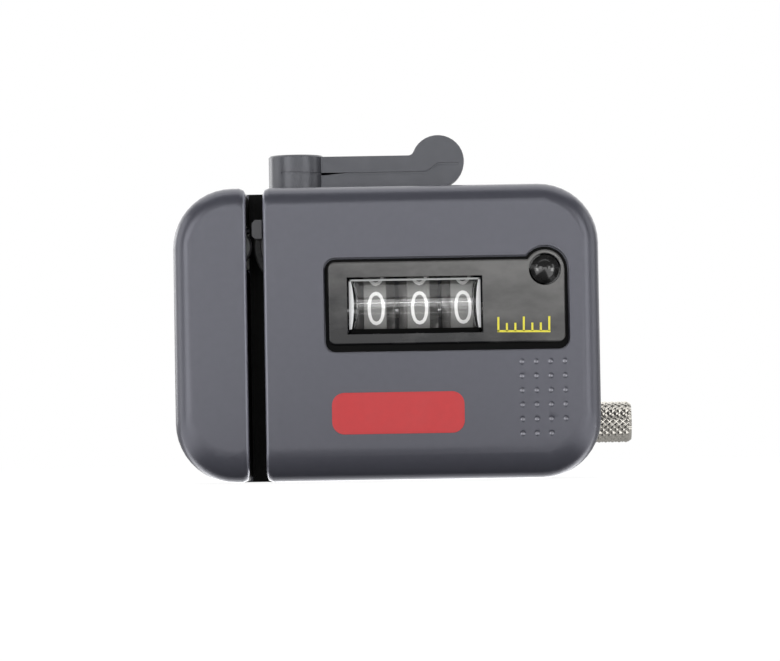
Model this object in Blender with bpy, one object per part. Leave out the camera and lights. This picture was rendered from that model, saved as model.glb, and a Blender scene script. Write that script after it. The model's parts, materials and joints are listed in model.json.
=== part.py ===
"""Fishing line counter that clamps to a rod: moulded case with a line slot, measuring wheel,
worm drive, three number drums, reset button, release lever and a screw clamp for the rod.

Frame: +X to the right, +Y to the back, +Z up. The origin is the middle of the case's underside.
All lengths are in metres.
"""

from math import asin, cos, pi, radians, sin, sqrt

import bmesh
import bpy
from mathutils import Vector

# Walls, gaps and cuts
WALL = 0.0015
FRONT_WALL = 0.0025
REAR_WALL = 0.0016
SEAM_GAP = 0.0003
FIT_GAP = 0.0003
RUN_GAP = 0.00015
OVERRUN = 0.0010
WELD_DEPTH = 0.0004

# Measuring wheel, worm and worm gear
WHEEL_CIRCUMFERENCE = 0.0508
WHEEL_DEPTH = 0.0034
WHEEL_WIDTH = 0.0032
WHEEL_HEADROOM = 0.0008149
TYRE_THICKNESS = 0.0012
WHEEL_SHAFT_RADIUS = 0.0010
ROLLER_RADIUS = 0.00365
ROLLER_PIN_RADIUS = 0.0009
GEAR_TEETH = 60
GEAR_PITCH_RADIUS = 0.0080
GEAR_WIDTH = 0.0018
WORM_PITCH_RADIUS = 0.0035
TOOTH_HEIGHT = 0.0006
WORM_LENGTH = 0.0046

# Number drums and carry pinions
DRUM_RADIUS = 0.0111
DRUM_PITCH = 0.0078
DRUM_BAND = 0.0043
DRUM_COUNT = 3
DRUM_FRONT_GAP = 0.0010
DRUM_REAR_GAP = 0.0007
DRUM_AXIS_Z = 0.0307
DRUM_AXLE_RADIUS = 0.0012
DRUM_TEETH = 20
PINION_TEETH = 8
CARRY_SHARE = 0.0882883
PINION_AXLE_RADIUS = 0.0009

# Case: its width is the part left of the slot, the slot, the way to the drums, the drums and the right part
LEFT_PART_WIDTH = 0.013105
SLOT_WIDTH = 0.00305
SLOT_TO_DRUM = 0.019745
RIGHT_PART_WIDTH = 0.0245
CORNER_SHARE = 0.81648
CORNER_STEPS = 11
FRONT_FILLET = 0.0034
BOTTOM_FILLET = 0.0058
REAR_FILLET = 0.0020
SHELL_SHARE = 0.785714
SLOT_EDGE_FILLET = 0.0006
SLOT_CORNER_RADIUS = 0.0012

# Counter panel, window and reset button
WINDOW_LEFT_MARGIN = 0.0049
WINDOW_RIGHT_MARGIN = 0.0036
WINDOW_BELOW_AXIS = 0.0046
WINDOW_ABOVE_AXIS = 0.0055
PANEL_LEFT_MARGIN = 0.0042
PANEL_END_MARGIN = 0.0054
PANEL_BELOW_WINDOW = 0.0034
PANEL_ABOVE_WINDOW = 0.0036
PANEL_CORNER = 0.0020
PANEL_RECESS = 0.0014
PANEL_SETBACK = 0.00025
PANEL_BEVEL = 0.0003
PANEL_BORDER = 0.0005
PANEL_LIFT = 0.0007
PANEL_STEP = 0.0008
BUTTON_BELOW_TOP = 0.0026
BUTTON_RADIUS = 0.00255
BUTTON_ARCH = 0.0043
BUTTON_TRAVEL = 0.0016
BUTTON_PROUD = 0.0004
LENS_BULGE = 0.0012
LENS_PROUD = 0.0003
LENS_THICKNESS = 0.0007
LENS_END_SLOPE = 0.45
LENS_END_WALL = 0.0018

# Release lever and roller slide
LEVER_SHARE = 0.589286
LEVER_OFFSET = 0.000471
LEVER_BOSS_RADIUS = 0.00503
LEVER_HEIGHT = 0.0062
LEVER_ARM_WIDTH = 0.0044
PADDLE_REACH = 0.0257
PADDLE_RADIUS = 0.00475
PADDLE_FILLET = 0.0010
LEVER_SHAFT_RADIUS = 0.0017
ROLLER_LIFT = 0.0016
CAM_RADIUS = 0.0024
LEVER_PIN_RADIUS = 0.0008
SLIDE_THICKNESS = 0.0022
SLIDE_POST_RADIUS = 0.0020

# Rod clamp
CLAMP_HEIGHT = 0.0190
CLAMP_FOOT = 0.00055
CLAMP_PLATE = 0.0025
CLAMP_LENGTH = 0.0500
CLAMP_END_MARGIN = 0.0030
CLAMP_REACH = 0.0127
RAIL_HEIGHT = 0.0030
JAW_GRIP = 0.0144
JAW_OPENING = 0.0035
SCREW_RADIUS = 0.0020
KNOB_RADIUS = 0.00388
KNOB_LENGTH = 0.00715

# Case screws
CASE_SCREW_RADIUS = 0.0008
CASE_SCREW_LENGTH = 0.0095
SCREW_HEAD_RADIUS = 0.0020
SCREW_HEAD_HEIGHT = 0.0012
SCREW_BOSS_RADIUS = 0.0024

# Places and sizes that follow from the ones above
WHEEL_RADIUS = WHEEL_CIRCUMFERENCE / (2 * pi)
WHEEL_AXIS_Z = DRUM_AXIS_Z + GEAR_PITCH_RADIUS + WORM_PITCH_RADIUS
INNER_TOP = WHEEL_AXIS_Z + WHEEL_RADIUS + WHEEL_HEADROOM
BODY_HEIGHT = INNER_TOP + WALL
DRUM_AXIS_DEPTH = FRONT_WALL + DRUM_FRONT_GAP + DRUM_RADIUS
BODY_DEPTH = DRUM_AXIS_DEPTH + DRUM_RADIUS + DRUM_REAR_GAP + REAR_WALL
BODY_WIDTH = LEFT_PART_WIDTH + SLOT_WIDTH + SLOT_TO_DRUM + (DRUM_COUNT - 1) * DRUM_PITCH + RIGHT_PART_WIDTH
CORNER_RADIUS = LEFT_PART_WIDTH * CORNER_SHARE
FRONT = -BODY_DEPTH / 2
REAR = BODY_DEPTH / 2
LEFT = -BODY_WIDTH / 2
RIGHT = BODY_WIDTH / 2
SEAM = FRONT + BODY_DEPTH * SHELL_SHARE
SLOT_LEFT = LEFT + LEFT_PART_WIDTH
SLOT_RIGHT = SLOT_LEFT + SLOT_WIDTH
INNER_FRONT = FRONT + FRONT_WALL
INNER_REAR = REAR - REAR_WALL
DRUM_FIRST_X = SLOT_RIGHT + SLOT_TO_DRUM
DRUM_LAST_X = DRUM_FIRST_X + (DRUM_COUNT - 1) * DRUM_PITCH
DRUM_Y = FRONT + DRUM_AXIS_DEPTH
WINDOW_LEFT = DRUM_FIRST_X - WINDOW_LEFT_MARGIN
WINDOW_RIGHT = DRUM_LAST_X + WINDOW_RIGHT_MARGIN
WINDOW_BOTTOM = DRUM_AXIS_Z - WINDOW_BELOW_AXIS
WINDOW_TOP = DRUM_AXIS_Z + WINDOW_ABOVE_AXIS
PANEL_LEFT = WINDOW_LEFT - PANEL_LEFT_MARGIN
PANEL_RIGHT = RIGHT - PANEL_END_MARGIN
PANEL_BOTTOM = WINDOW_BOTTOM - PANEL_BELOW_WINDOW
PANEL_TOP = WINDOW_TOP + PANEL_ABOVE_WINDOW
BUTTON_X = PANEL_RIGHT - BUTTON_ARCH
BUTTON_Z = PANEL_TOP - BUTTON_BELOW_TOP
NIP_X = SLOT_LEFT + SLOT_WIDTH * 0.42
WHEEL_X = NIP_X + WHEEL_RADIUS
ROLLER_X = NIP_X - ROLLER_RADIUS
WHEEL_Y = FRONT + WHEEL_DEPTH + WHEEL_WIDTH / 2
THREAD_PITCH = 2 * pi * GEAR_PITCH_RADIUS / GEAR_TEETH
GEAR_TIP_RADIUS = GEAR_PITCH_RADIUS + TOOTH_HEIGHT / 2
CARRY_MODULE = DRUM_RADIUS * CARRY_SHARE
PINION_PITCH_RADIUS = CARRY_MODULE * PINION_TEETH / 2
CARRY_PITCH_RADIUS = CARRY_MODULE * DRUM_TEETH / 2
PINION_Z = DRUM_AXIS_Z - CARRY_PITCH_RADIUS - PINION_PITCH_RADIUS
LEVER_X = WHEEL_X - LEVER_OFFSET
LEVER_Y = FRONT + BODY_DEPTH * LEVER_SHARE
PADDLE_X = LEVER_X + PADDLE_REACH
SLIDE_BACK = INNER_REAR - FIT_GAP
SLIDE_FRONT = SLIDE_BACK - SLIDE_THICKNESS
CAM_OFFSET = ROLLER_LIFT / 2
CLAMP_RIGHT = RIGHT - CLAMP_END_MARGIN
CLAMP_LEFT = CLAMP_RIGHT - CLAMP_LENGTH
CLAMP_MID_Z = CLAMP_FOOT + CLAMP_HEIGHT / 2
PLATE_FRONT = REAR + FIT_GAP
PLATE_BACK = PLATE_FRONT + CLAMP_PLATE
RAIL_TOP = PLATE_BACK + RAIL_HEIGHT
CLAMP_END = PLATE_BACK + CLAMP_REACH
SCREW_Y = (RAIL_TOP + CLAMP_END) / 2
KNOB_START = RIGHT
KNOB_END = KNOB_START + KNOB_LENGTH


def material(name, colour, roughness, metallic=0.0):
    """A Principled finish with the piece's colour, roughness and metallic value."""
    made = bpy.data.materials.get(name) or bpy.data.materials.new(name)
    made.use_nodes = True
    shader = made.node_tree.nodes["Principled BSDF"]
    shader.inputs["Base Color"].default_value = (*colour, 1.0)
    shader.inputs["Roughness"].default_value = roughness
    shader.inputs["Metallic"].default_value = metallic
    made.diffuse_color = (*colour, 1.0)
    return made


def case_plastic():
    return material("case_plastic", (0.115, 0.118, 0.135), 0.48)


def gloss_black():
    return material("gloss_black", (0.012, 0.012, 0.013), 0.12)


def inner_plastic():
    return material("inner_plastic", (0.05, 0.05, 0.055), 0.5)


def drum_plastic():
    return material("drum_plastic", (0.09, 0.09, 0.09), 0.4)


def clear_plastic():
    return material("clear_plastic", (0.9, 0.92, 0.93), 0.05)


def rubber():
    return material("rubber", (0.02, 0.02, 0.02), 0.8)


def acetal():
    return material("acetal", (0.72, 0.71, 0.66), 0.45)


def steel():
    return material("steel", (0.62, 0.62, 0.63), 0.25, 1.0)


def nickel():
    return material("nickel", (0.72, 0.70, 0.66), 0.22, 1.0)


def brass():
    return material("brass", (0.72, 0.55, 0.25), 0.3, 1.0)


def place(axis, u, v, t):
    """The point at (u, v) of a plane square to the axis, t along it."""
    if axis == "X":
        return Vector((t, u, v))
    if axis == "Y":
        return Vector((u, t, v))
    return Vector((u, v, t))


def add_loft(bm, rings, closed_loop=False):
    """Joins rings of equally many points with quads, and caps the two ends or joins them."""
    made = [[bm.verts.new(point) for point in ring] for ring in rings]
    count = len(made[0])
    pairs = list(zip(made, made[1:]))
    if closed_loop:
        pairs.append((made[-1], made[0]))
    for near, far in pairs:
        for i in range(count):
            j = (i + 1) % count
            bm.faces.new((near[i], near[j], far[j], far[i]))
    if not closed_loop:
        bm.faces.new(made[0])
        bm.faces.new(list(reversed(made[-1])))


def add_prism(bm, outline, axis, start, end):
    """Extrudes an outline of (u, v) points along an axis."""
    add_loft(bm, [[place(axis, u, v, t) for u, v in outline] for t in (start, end)])


def add_turned(bm, profile, axis, centre, segments, bored=False, phase=0.0):
    """Turns a profile of (radius, t) points about an axis through centre (u, v)."""
    rings = []
    for radius, t in profile:
        ring = []
        for i in range(segments):
            angle = phase + 2 * pi * i / segments
            ring.append(place(axis, centre[0] + radius * cos(angle), centre[1] + radius * sin(angle), t))
        rings.append(ring)
    add_loft(bm, rings, closed_loop=bored)


def add_box(bm, low, high):
    outline = [(low[0], low[1]), (high[0], low[1]), (high[0], high[1]), (low[0], high[1])]
    add_prism(bm, outline, "Z", low[2], high[2])


def finish_mesh(name, bm, paint, smooth_angle=radians(32)):
    """Makes the object, with its faces turned out and its round faces shaded smooth."""
    bmesh.ops.recalc_face_normals(bm, faces=bm.faces)
    mesh = bpy.data.meshes.new(name)
    bm.to_mesh(mesh)
    bm.free()
    mesh.shade_smooth()
    mesh.set_sharp_from_angle(angle=smooth_angle)
    obj = bpy.data.objects.new(name, mesh)
    bpy.context.scene.collection.objects.link(obj)
    if paint:
        mesh.materials.append(paint)
    return obj


def combine(obj, tool_name, build, operation="DIFFERENCE"):
    """Cuts a tool body from the object, or joins it on. build fills the tool's bmesh."""
    bm = bmesh.new()
    build(bm)
    tool = finish_mesh(obj.name + "_" + tool_name, bm, None)
    tool.hide_render = True
    tool.display_type = "WIRE"
    modifier = obj.modifiers.new(tool_name, "BOOLEAN")
    modifier.operation = operation
    modifier.solver = "EXACT"
    modifier.object = tool
    return tool


def join(obj, tool_name, build):
    return combine(obj, tool_name, build, "UNION")


def set_origin(obj, point):
    """Moves the object's origin to its joint axis and leaves its shape where it is."""
    shift = Vector(point)
    for vertex in obj.data.vertices:
        vertex.co -= shift
    obj.location = shift


def arc(centre, radius, start, end, steps):
    """Points of an arc from one angle to the other, both ends included."""
    angles = [start + (end - start) * i / steps for i in range(steps + 1)]
    return [(centre[0] + radius * cos(a), centre[1] + radius * sin(a)) for a in angles]


def rounded_outline(left, right, bottom, top, radii, steps=6):
    """A box outline, with radii for its lower right, upper right, upper left and lower left corner."""
    corners = (
        ((right, bottom), (-1, 1), -pi / 2),
        ((right, top), (-1, -1), 0.0),
        ((left, top), (1, -1), pi / 2),
        ((left, bottom), (1, 1), pi),
    )
    outline = []
    for (corner, inward, start), (radius, count) in zip(corners, zip(radii, corner_steps(radii, steps))):
        centre = (corner[0] + inward[0] * radius, corner[1] + inward[1] * radius)
        outline += arc(centre, radius, start, start + pi / 2, count)
    return outline


def corner_steps(radii, steps):
    """Large corners take all the steps, and small ones two."""
    return [steps if radius > max(radii) / 2 else 2 for radius in radii]


def shell_outline(left, right, outer_side, inset_outer, inset_slot, bottom):
    """Outline of one front shell, drawn in by one amount at the case's edges and one at the slot.
    bottom is the height of its lower edge."""
    outer = CORNER_RADIUS - inset_outer
    inner = SLOT_CORNER_RADIUS
    top = BODY_HEIGHT - inset_outer
    if outer_side == "left":
        radii = (inner, inner, outer, outer)
        return rounded_outline(left + inset_outer, right - inset_slot, bottom, top, radii, CORNER_STEPS)
    radii = (outer, outer, inner, inner)
    return rounded_outline(left + inset_slot, right - inset_outer, bottom, top, radii, CORNER_STEPS)


def front_shell(name, left, right, outer_side):
    """One front moulding: rounded at the front edges, the lower one the most, and open at the back."""
    rings = []
    steps = 7
    for i in range(steps + 1):
        angle = pi / 2 * i / steps
        back = FRONT_FILLET * (1 - cos(angle))
        inset = FRONT_FILLET * (1 - sin(angle))
        rise = max(SLOT_EDGE_FILLET - back, 0)
        slot_inset = SLOT_EDGE_FILLET - sqrt(SLOT_EDGE_FILLET**2 - rise**2)
        bottom = BOTTOM_FILLET * (1 - sin(angle))
        outline = shell_outline(left, right, outer_side, inset, slot_inset, bottom)
        rings.append([place("Y", u, v, FRONT + back) for u, v in outline])
    outline = shell_outline(left, right, outer_side, 0, 0, 0)
    rings.append([place("Y", u, v, SEAM) for u, v in outline])
    bm = bmesh.new()
    add_loft(bm, rings)
    shell = finish_mesh(name, bm, case_plastic())
    combine(shell, "cavity", lambda tool: cavity(tool, left, right, outer_side, INNER_FRONT, SEAM + OVERRUN))
    return shell


def cavity(bm, left, right, outer_side, start, end):
    """The hollow of one side of the case, a wall's thickness inside it."""
    outer = CORNER_RADIUS - WALL
    inner = SLOT_CORNER_RADIUS / 2
    radii = (inner, inner, outer, outer) if outer_side == "left" else (outer, outer, inner, inner)
    outline = rounded_outline(left + WALL, right - WALL, WALL, INNER_TOP, radii)
    add_prism(bm, outline, "Y", start, end)


def case_screw_places():
    """(x, z) of the case screws: one near each corner, but the upper left one is below the slide."""
    edge = CORNER_RADIUS * 0.64
    left_x = LEFT + WALL + SCREW_BOSS_RADIUS + edge / 3
    right_x = RIGHT - WALL - SCREW_BOSS_RADIUS - edge / 3
    upper_left = PASSAGE_BOTTOM - SCREW_BOSS_RADIUS * 2
    return [(left_x, edge), (left_x, upper_left), (right_x, edge), (right_x, BODY_HEIGHT - edge)]


def screw_bosses(shell, places):
    """Posts inside a front shell, with a blind hole for each case screw."""
    for index, (x, z) in enumerate(places):
        join(shell, f"boss_{index}", lambda bm, x=x, z=z: add_turned(
            bm, [(SCREW_BOSS_RADIUS, INNER_FRONT - WELD_DEPTH), (SCREW_BOSS_RADIUS, SEAM - SEAM_GAP)],
            "Y", (x, z), 16))
        combine(shell, f"pilot_{index}", lambda bm, x=x, z=z: add_turned(
            bm, [(CASE_SCREW_RADIUS + RUN_GAP, SEAM - CASE_SCREW_LENGTH - FIT_GAP),
                 (CASE_SCREW_RADIUS + RUN_GAP, SEAM + OVERRUN)], "Y", (x, z), 12))


def left_shell():
    """The part of the case left of the line slot. Its slot wall is open for the roller."""
    shell = front_shell("left_shell", LEFT, SLOT_LEFT, "left")
    screw_bosses(shell, case_screw_places()[:2])
    half = ROLLER_RADIUS + FIT_GAP * 2
    combine(shell, "roller_window", lambda bm: add_box(
        bm, (SLOT_LEFT - WALL - OVERRUN, FRONT + WHEEL_DEPTH - FIT_GAP * 3, WHEEL_AXIS_Z - half),
        (SLOT_LEFT + OVERRUN, SEAM + OVERRUN, WHEEL_AXIS_Z + half)))
    return shell


def panel_outline(inset, lift=0.0):
    """Outline of the counter panel: a rounded box with an arch round the reset button. lift raises its
    lower edge."""
    left = PANEL_LEFT + inset
    right = PANEL_RIGHT - inset
    bottom = PANEL_BOTTOM + inset + lift
    top = PANEL_TOP - inset
    corner = PANEL_CORNER - inset
    arch = BUTTON_ARCH - inset
    arch_x = PANEL_RIGHT - BUTTON_ARCH
    outline = arc((right - corner, bottom + corner), corner, -pi / 2, 0.0, 4)
    outline += arc((arch_x, BUTTON_Z), arch, 0.0, pi - asin((top - BUTTON_Z) / arch), 12)
    outline += arc((left + corner, top - corner), corner, pi / 2, pi, 4)
    outline += arc((left + corner, bottom + corner), corner, pi, 3 * pi / 2, 4)
    return outline


GRIP_COLUMNS = 4
GRIP_ROWS = 6
GRIP_SPACING = 0.00256
GRIP_END_MARGIN = 0.0141
GRIP_BELOW_PANEL = 0.00195
GRIP_LEFT = RIGHT - GRIP_END_MARGIN
GRIP_TOP = PANEL_BOTTOM - GRIP_BELOW_PANEL
DIMPLE_RADIUS = 0.0007
DIMPLE_DEPTH = 0.00035


def grip_places():
    """(x, z) of the dimples at the thumb's place. The last one of the last row is left out."""
    spots = [(c, r) for r in range(GRIP_ROWS) for c in range(GRIP_COLUMNS)]
    spots.remove((GRIP_COLUMNS - 1, GRIP_ROWS - 1))
    return [(GRIP_LEFT + c * GRIP_SPACING, GRIP_TOP - r * GRIP_SPACING) for c, r in spots]


def grip_dimples(bm):
    for centre in grip_places():
        rim = DIMPLE_RADIUS * (1 + OVERRUN / DIMPLE_DEPTH / 2)
        profile = [(rim, FRONT - OVERRUN), (DIMPLE_RADIUS, FRONT), (DIMPLE_RADIUS / 2, FRONT + DIMPLE_DEPTH)]
        add_turned(bm, profile, "Y", centre, 8)


def right_shell():
    """The part of the case right of the slot: panel recess, window, button hole, wheel window
    and the hole for the lever's shaft."""
    shell = front_shell("right_shell", SLOT_RIGHT, RIGHT, "right")
    screw_bosses(shell, case_screw_places()[2:])
    floor = FRONT + PANEL_RECESS
    combine(shell, "panel_recess", lambda bm: add_prism(bm, panel_outline(0), "Y", FRONT - OVERRUN, floor))
    combine(shell, "window", lambda bm: add_box(
        bm, (WINDOW_LEFT - FIT_GAP, FRONT, WINDOW_BOTTOM - FIT_GAP),
        (WINDOW_RIGHT + FIT_GAP, INNER_FRONT + OVERRUN, WINDOW_TOP + FIT_GAP)))
    combine(shell, "button_hole", lambda bm: add_turned(
        bm, [(BUTTON_RADIUS + FIT_GAP, FRONT), (BUTTON_RADIUS + FIT_GAP, INNER_FRONT + OVERRUN)],
        "Y", (BUTTON_X, BUTTON_Z), 20))
    half = sqrt(WHEEL_RADIUS**2 - (WHEEL_X - SLOT_RIGHT - WALL) ** 2) + FIT_GAP * 2
    combine(shell, "wheel_window", lambda bm: add_box(
        bm, (SLOT_RIGHT - OVERRUN, FRONT + WHEEL_DEPTH - FIT_GAP * 2, WHEEL_AXIS_Z - half),
        (SLOT_RIGHT + WALL + OVERRUN, FRONT + WHEEL_DEPTH + WHEEL_WIDTH + FIT_GAP * 2, WHEEL_AXIS_Z + half)))
    combine(shell, "shaft_pocket", lambda bm: add_turned(
        bm, [(WHEEL_SHAFT_RADIUS + RUN_GAP, INNER_FRONT - FRONT_WALL / 2),
             (WHEEL_SHAFT_RADIUS + RUN_GAP, INNER_FRONT + OVERRUN)], "Y", (WHEEL_X, WHEEL_AXIS_Z), 16))
    combine(shell, "lever_hole", lambda bm: add_turned(
        bm, [(LEVER_SHAFT_RADIUS + RUN_GAP, INNER_TOP - OVERRUN),
             (LEVER_SHAFT_RADIUS + RUN_GAP, BODY_HEIGHT + OVERRUN)], "Z", (LEVER_X, LEVER_Y), 20))
    combine(shell, "dimples", grip_dimples)
    return shell


PASSAGE_HALF = 0.0035
PASSAGE_BOTTOM = WHEEL_AXIS_Z - PASSAGE_HALF
PASSAGE_TOP = WHEEL_AXIS_Z + PASSAGE_HALF


def rear_cover():
    """The back moulding. It carries both front shells, and its spine closes the line slot's back."""
    rings = []
    start = SEAM + SEAM_GAP
    steps = 4
    sections = [(start, 0.0)]
    for i in range(steps + 1):
        angle = pi / 2 * i / steps
        sections.append((REAR - REAR_FILLET * (1 - sin(angle)), REAR_FILLET * (1 - cos(angle))))
    for y, inset in sections:
        radius = CORNER_RADIUS - inset
        outline = rounded_outline(
            LEFT + inset, RIGHT - inset, inset, BODY_HEIGHT - inset, [radius] * 4, CORNER_STEPS)
        rings.append([place("Y", u, v, y) for u, v in outline])
    bm = bmesh.new()
    add_loft(bm, rings)
    cover = finish_mesh("rear_cover", bm, case_plastic())
    mouth = start - OVERRUN
    combine(cover, "left_cavity", lambda tool: cavity(tool, LEFT, SLOT_LEFT, "left", mouth, INNER_REAR))
    combine(cover, "right_cavity", lambda tool: cavity(tool, SLOT_RIGHT, RIGHT, "right", mouth, INNER_REAR))
    combine(cover, "slide_passage", lambda tool: add_box(
        tool, (SLOT_LEFT - WALL - OVERRUN, SLIDE_FRONT - FIT_GAP, PASSAGE_BOTTOM),
        (SLOT_RIGHT + WALL + OVERRUN, INNER_REAR, PASSAGE_TOP)))
    post_right = ROLLER_X + SLIDE_POST_RADIUS + FIT_GAP
    combine(cover, "post_passage", lambda tool: add_box(
        tool, (SLOT_LEFT - WALL - OVERRUN, start - OVERRUN, PASSAGE_BOTTOM),
        (post_right, INNER_REAR - OVERRUN, PASSAGE_TOP)))
    join(cover, "button_post", lambda tool: add_turned(
        tool, [(BUTTON_POST_RADIUS, FRONT + BUTTON_POST_DEPTH), (BUTTON_POST_RADIUS, INNER_REAR + WELD_DEPTH)],
        "Y", (BUTTON_X, BUTTON_Z), 20))
    combine(cover, "stem_bore", lambda tool: add_turned(
        tool, [(BUTTON_STEM_RADIUS + RUN_GAP, FRONT + BUTTON_POST_DEPTH - OVERRUN),
               (BUTTON_STEM_RADIUS + RUN_GAP, FRONT + BUTTON_STEM_END + BUTTON_TRAVEL * 1.5)],
        "Y", (BUTTON_X, BUTTON_Z), 12))
    for index, (x, z) in enumerate(case_screw_places()):
        join(cover, f"boss_{index}", lambda bm, x=x, z=z: add_turned(
            bm, [(SCREW_BOSS_RADIUS, start), (SCREW_BOSS_RADIUS, INNER_REAR + WELD_DEPTH)], "Y", (x, z), 16))
        combine(cover, f"hole_{index}", lambda bm, x=x, z=z: screw_hole(bm, x, z, start))
    for index, (x, z) in enumerate(clamp_screw_places()):
        combine(cover, f"clamp_hole_{index}", lambda bm, x=x, z=z: add_turned(
            bm, [(CASE_SCREW_RADIUS + RUN_GAP, INNER_REAR - OVERRUN),
                 (CASE_SCREW_RADIUS + RUN_GAP, REAR + OVERRUN)], "Y", (x, z), 12))
    return cover


def screw_hole(bm, x, z, start):
    """A stepped hole for a case screw, its head sunk into the back."""
    seat = REAR - SCREW_HEAD_HEIGHT - FIT_GAP
    shank = CASE_SCREW_RADIUS + RUN_GAP
    head = SCREW_HEAD_RADIUS + RUN_GAP
    add_turned(bm, [(shank, start - OVERRUN), (shank, seat), (head, seat), (head, REAR + OVERRUN)],
               "Y", (x, z), 16)


def machine_screw(name, axis_end, x, z, length):
    """A pan head screw that points to the front, its head's top at axis_end."""
    bm = bmesh.new()
    seat = axis_end - SCREW_HEAD_HEIGHT
    add_turned(bm, [(CASE_SCREW_RADIUS * 0.6, seat - length),
                    (CASE_SCREW_RADIUS, seat - length + CASE_SCREW_RADIUS),
                    (CASE_SCREW_RADIUS, seat), (SCREW_HEAD_RADIUS, seat),
                    (SCREW_HEAD_RADIUS, axis_end - SCREW_HEAD_HEIGHT / 3),
                    (SCREW_HEAD_RADIUS * 0.8, axis_end)], "Y", (x, z), 16)
    return finish_mesh(name, bm, steel())


def case_screws():
    reach = REAR - FIT_GAP - SCREW_HEAD_HEIGHT - SEAM + CASE_SCREW_LENGTH
    for index, (x, z) in enumerate(case_screw_places()):
        machine_screw(f"case_screw_{index + 1}", REAR - FIT_GAP / 2, x, z, reach - FIT_GAP)


def bezel():
    """The glossy panel in the recess: a raised plate on a wider one, with openings for the window
    and the button."""
    face = FRONT + PANEL_SETBACK
    back = FRONT + PANEL_RECESS - FIT_GAP
    bm = bmesh.new()
    steps = 3
    sections = []
    for i in range(steps + 1):
        angle = pi / 2 * i / steps
        inset = FIT_GAP + PANEL_BORDER + PANEL_BEVEL * (1 - sin(angle))
        sections.append((face + PANEL_BEVEL * (1 - cos(angle)), inset, PANEL_LIFT))
    sections.append((FRONT + PANEL_STEP, FIT_GAP + PANEL_BORDER, PANEL_LIFT))
    sections.append((FRONT + PANEL_STEP, FIT_GAP, 0))
    sections.append((back, FIT_GAP, 0))
    rings = [[place("Y", u, v, y) for u, v in panel_outline(inset, lift)] for y, inset, lift in sections]
    add_loft(bm, rings)
    panel = finish_mesh("bezel", bm, gloss_black())
    combine(panel, "window", lambda tool: add_box(
        tool, (WINDOW_LEFT, face - OVERRUN, WINDOW_BOTTOM), (WINDOW_RIGHT, back + OVERRUN, WINDOW_TOP)))
    combine(panel, "button_hole", lambda tool: add_turned(
        tool, [(BUTTON_RADIUS + FIT_GAP, face - OVERRUN), (BUTTON_RADIUS + FIT_GAP, back + OVERRUN)],
        "Y", (BUTTON_X, BUTTON_Z), 24))
    return panel


def lens_arc(radius, middle_z, centre_y, half_height, steps):
    """(y, z) points of the lens's curve, from its lower edge to its upper edge."""
    reach = asin(half_height / radius)
    angles = [-reach + 2 * reach * i / steps for i in range(steps + 1)]
    return [(centre_y - radius * cos(a), middle_z + radius * sin(a)) for a in angles]


def lens():
    """The clear window over the drums, bowed to the front, its two ends sloping in and closed."""
    half = (WINDOW_TOP - WINDOW_BOTTOM) / 2 - FIT_GAP
    middle = (WINDOW_TOP + WINDOW_BOTTOM) / 2
    radius = (half**2 + LENS_BULGE**2) / (2 * LENS_BULGE)
    apex = FRONT + PANEL_SETBACK - LENS_PROUD
    back = apex + LENS_BULGE + LENS_THICKNESS
    outer = lens_arc(radius, middle, apex + radius, half, 10)
    inner = [(y + LENS_THICKNESS, z) for y, z in reversed(outer)]
    closed = [(back, z) for y, z in inner]
    left = WINDOW_LEFT + FIT_GAP
    right = WINDOW_RIGHT - FIT_GAP
    rings = [[place("X", y, z, left + LENS_END_SLOPE * (back - y)) for y, z in outer + closed]]
    rings.append([place("X", y, z, left + LENS_END_WALL) for y, z in outer + inner])
    rings.append([place("X", y, z, right - LENS_END_WALL) for y, z in outer + inner])
    rings.append([place("X", y, z, right - LENS_END_SLOPE * (back - y)) for y, z in outer + closed])
    bm = bmesh.new()
    add_loft(bm, rings)
    return finish_mesh("lens", bm, clear_plastic())


GUIDE_ABOVE_AXIS = 0.0012
GUIDE_HEIGHT = 0.0034
GUIDE_BOTTOM = WHEEL_AXIS_Z + GUIDE_ABOVE_AXIS
GUIDE_TOP = GUIDE_BOTTOM + GUIDE_HEIGHT
GUIDE_REACH = 0.00185
GUIDE_DEPTH_START = WHEEL_DEPTH * 0.235
GUIDE_DEPTH_END = WHEEL_DEPTH * 0.765


def line_guide():
    """A small lip on the right wall of the slot that keeps the line at the wheel."""
    bm = bmesh.new()
    outer = SLOT_RIGHT - RUN_GAP
    tip = outer - GUIDE_REACH
    slope = (GUIDE_TOP - GUIDE_BOTTOM) / 6
    outline = [(outer, GUIDE_BOTTOM), (outer, GUIDE_TOP), (tip + slope, GUIDE_TOP), (tip, GUIDE_TOP - slope),
               (tip, GUIDE_BOTTOM + slope), (tip + slope, GUIDE_BOTTOM)]
    add_prism(bm, outline, "Y", FRONT + GUIDE_DEPTH_START, FRONT + GUIDE_DEPTH_END)
    return finish_mesh("line_guide", bm, inner_plastic())


FRAME_SHEET = 0.0015
FRAME_LEFT_MARGIN = 0.0074
FRAME_RIGHT_MARGIN = 0.0051
FRAME_BELOW_PINION = 0.00748
CHEEK_BELOW_AXIS = 0.0050
BEARING_HALF = 0.0036
FRAME_BOTTOM = PINION_Z - FRAME_BELOW_PINION
FRAME_LEFT = DRUM_FIRST_X - FRAME_LEFT_MARGIN
FRAME_RIGHT = DRUM_LAST_X + FRAME_RIGHT_MARGIN
CHEEK_TOP = WHEEL_AXIS_Z - CHEEK_BELOW_AXIS
BEARING_BOTTOM = WHEEL_AXIS_Z - BEARING_HALF
BEARING_TOP = WHEEL_AXIS_Z + BEARING_HALF
WORM_TO_BEARING = 0.0056
BEARING_DEPTH = DRUM_AXIS_DEPTH + WORM_TO_BEARING


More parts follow.
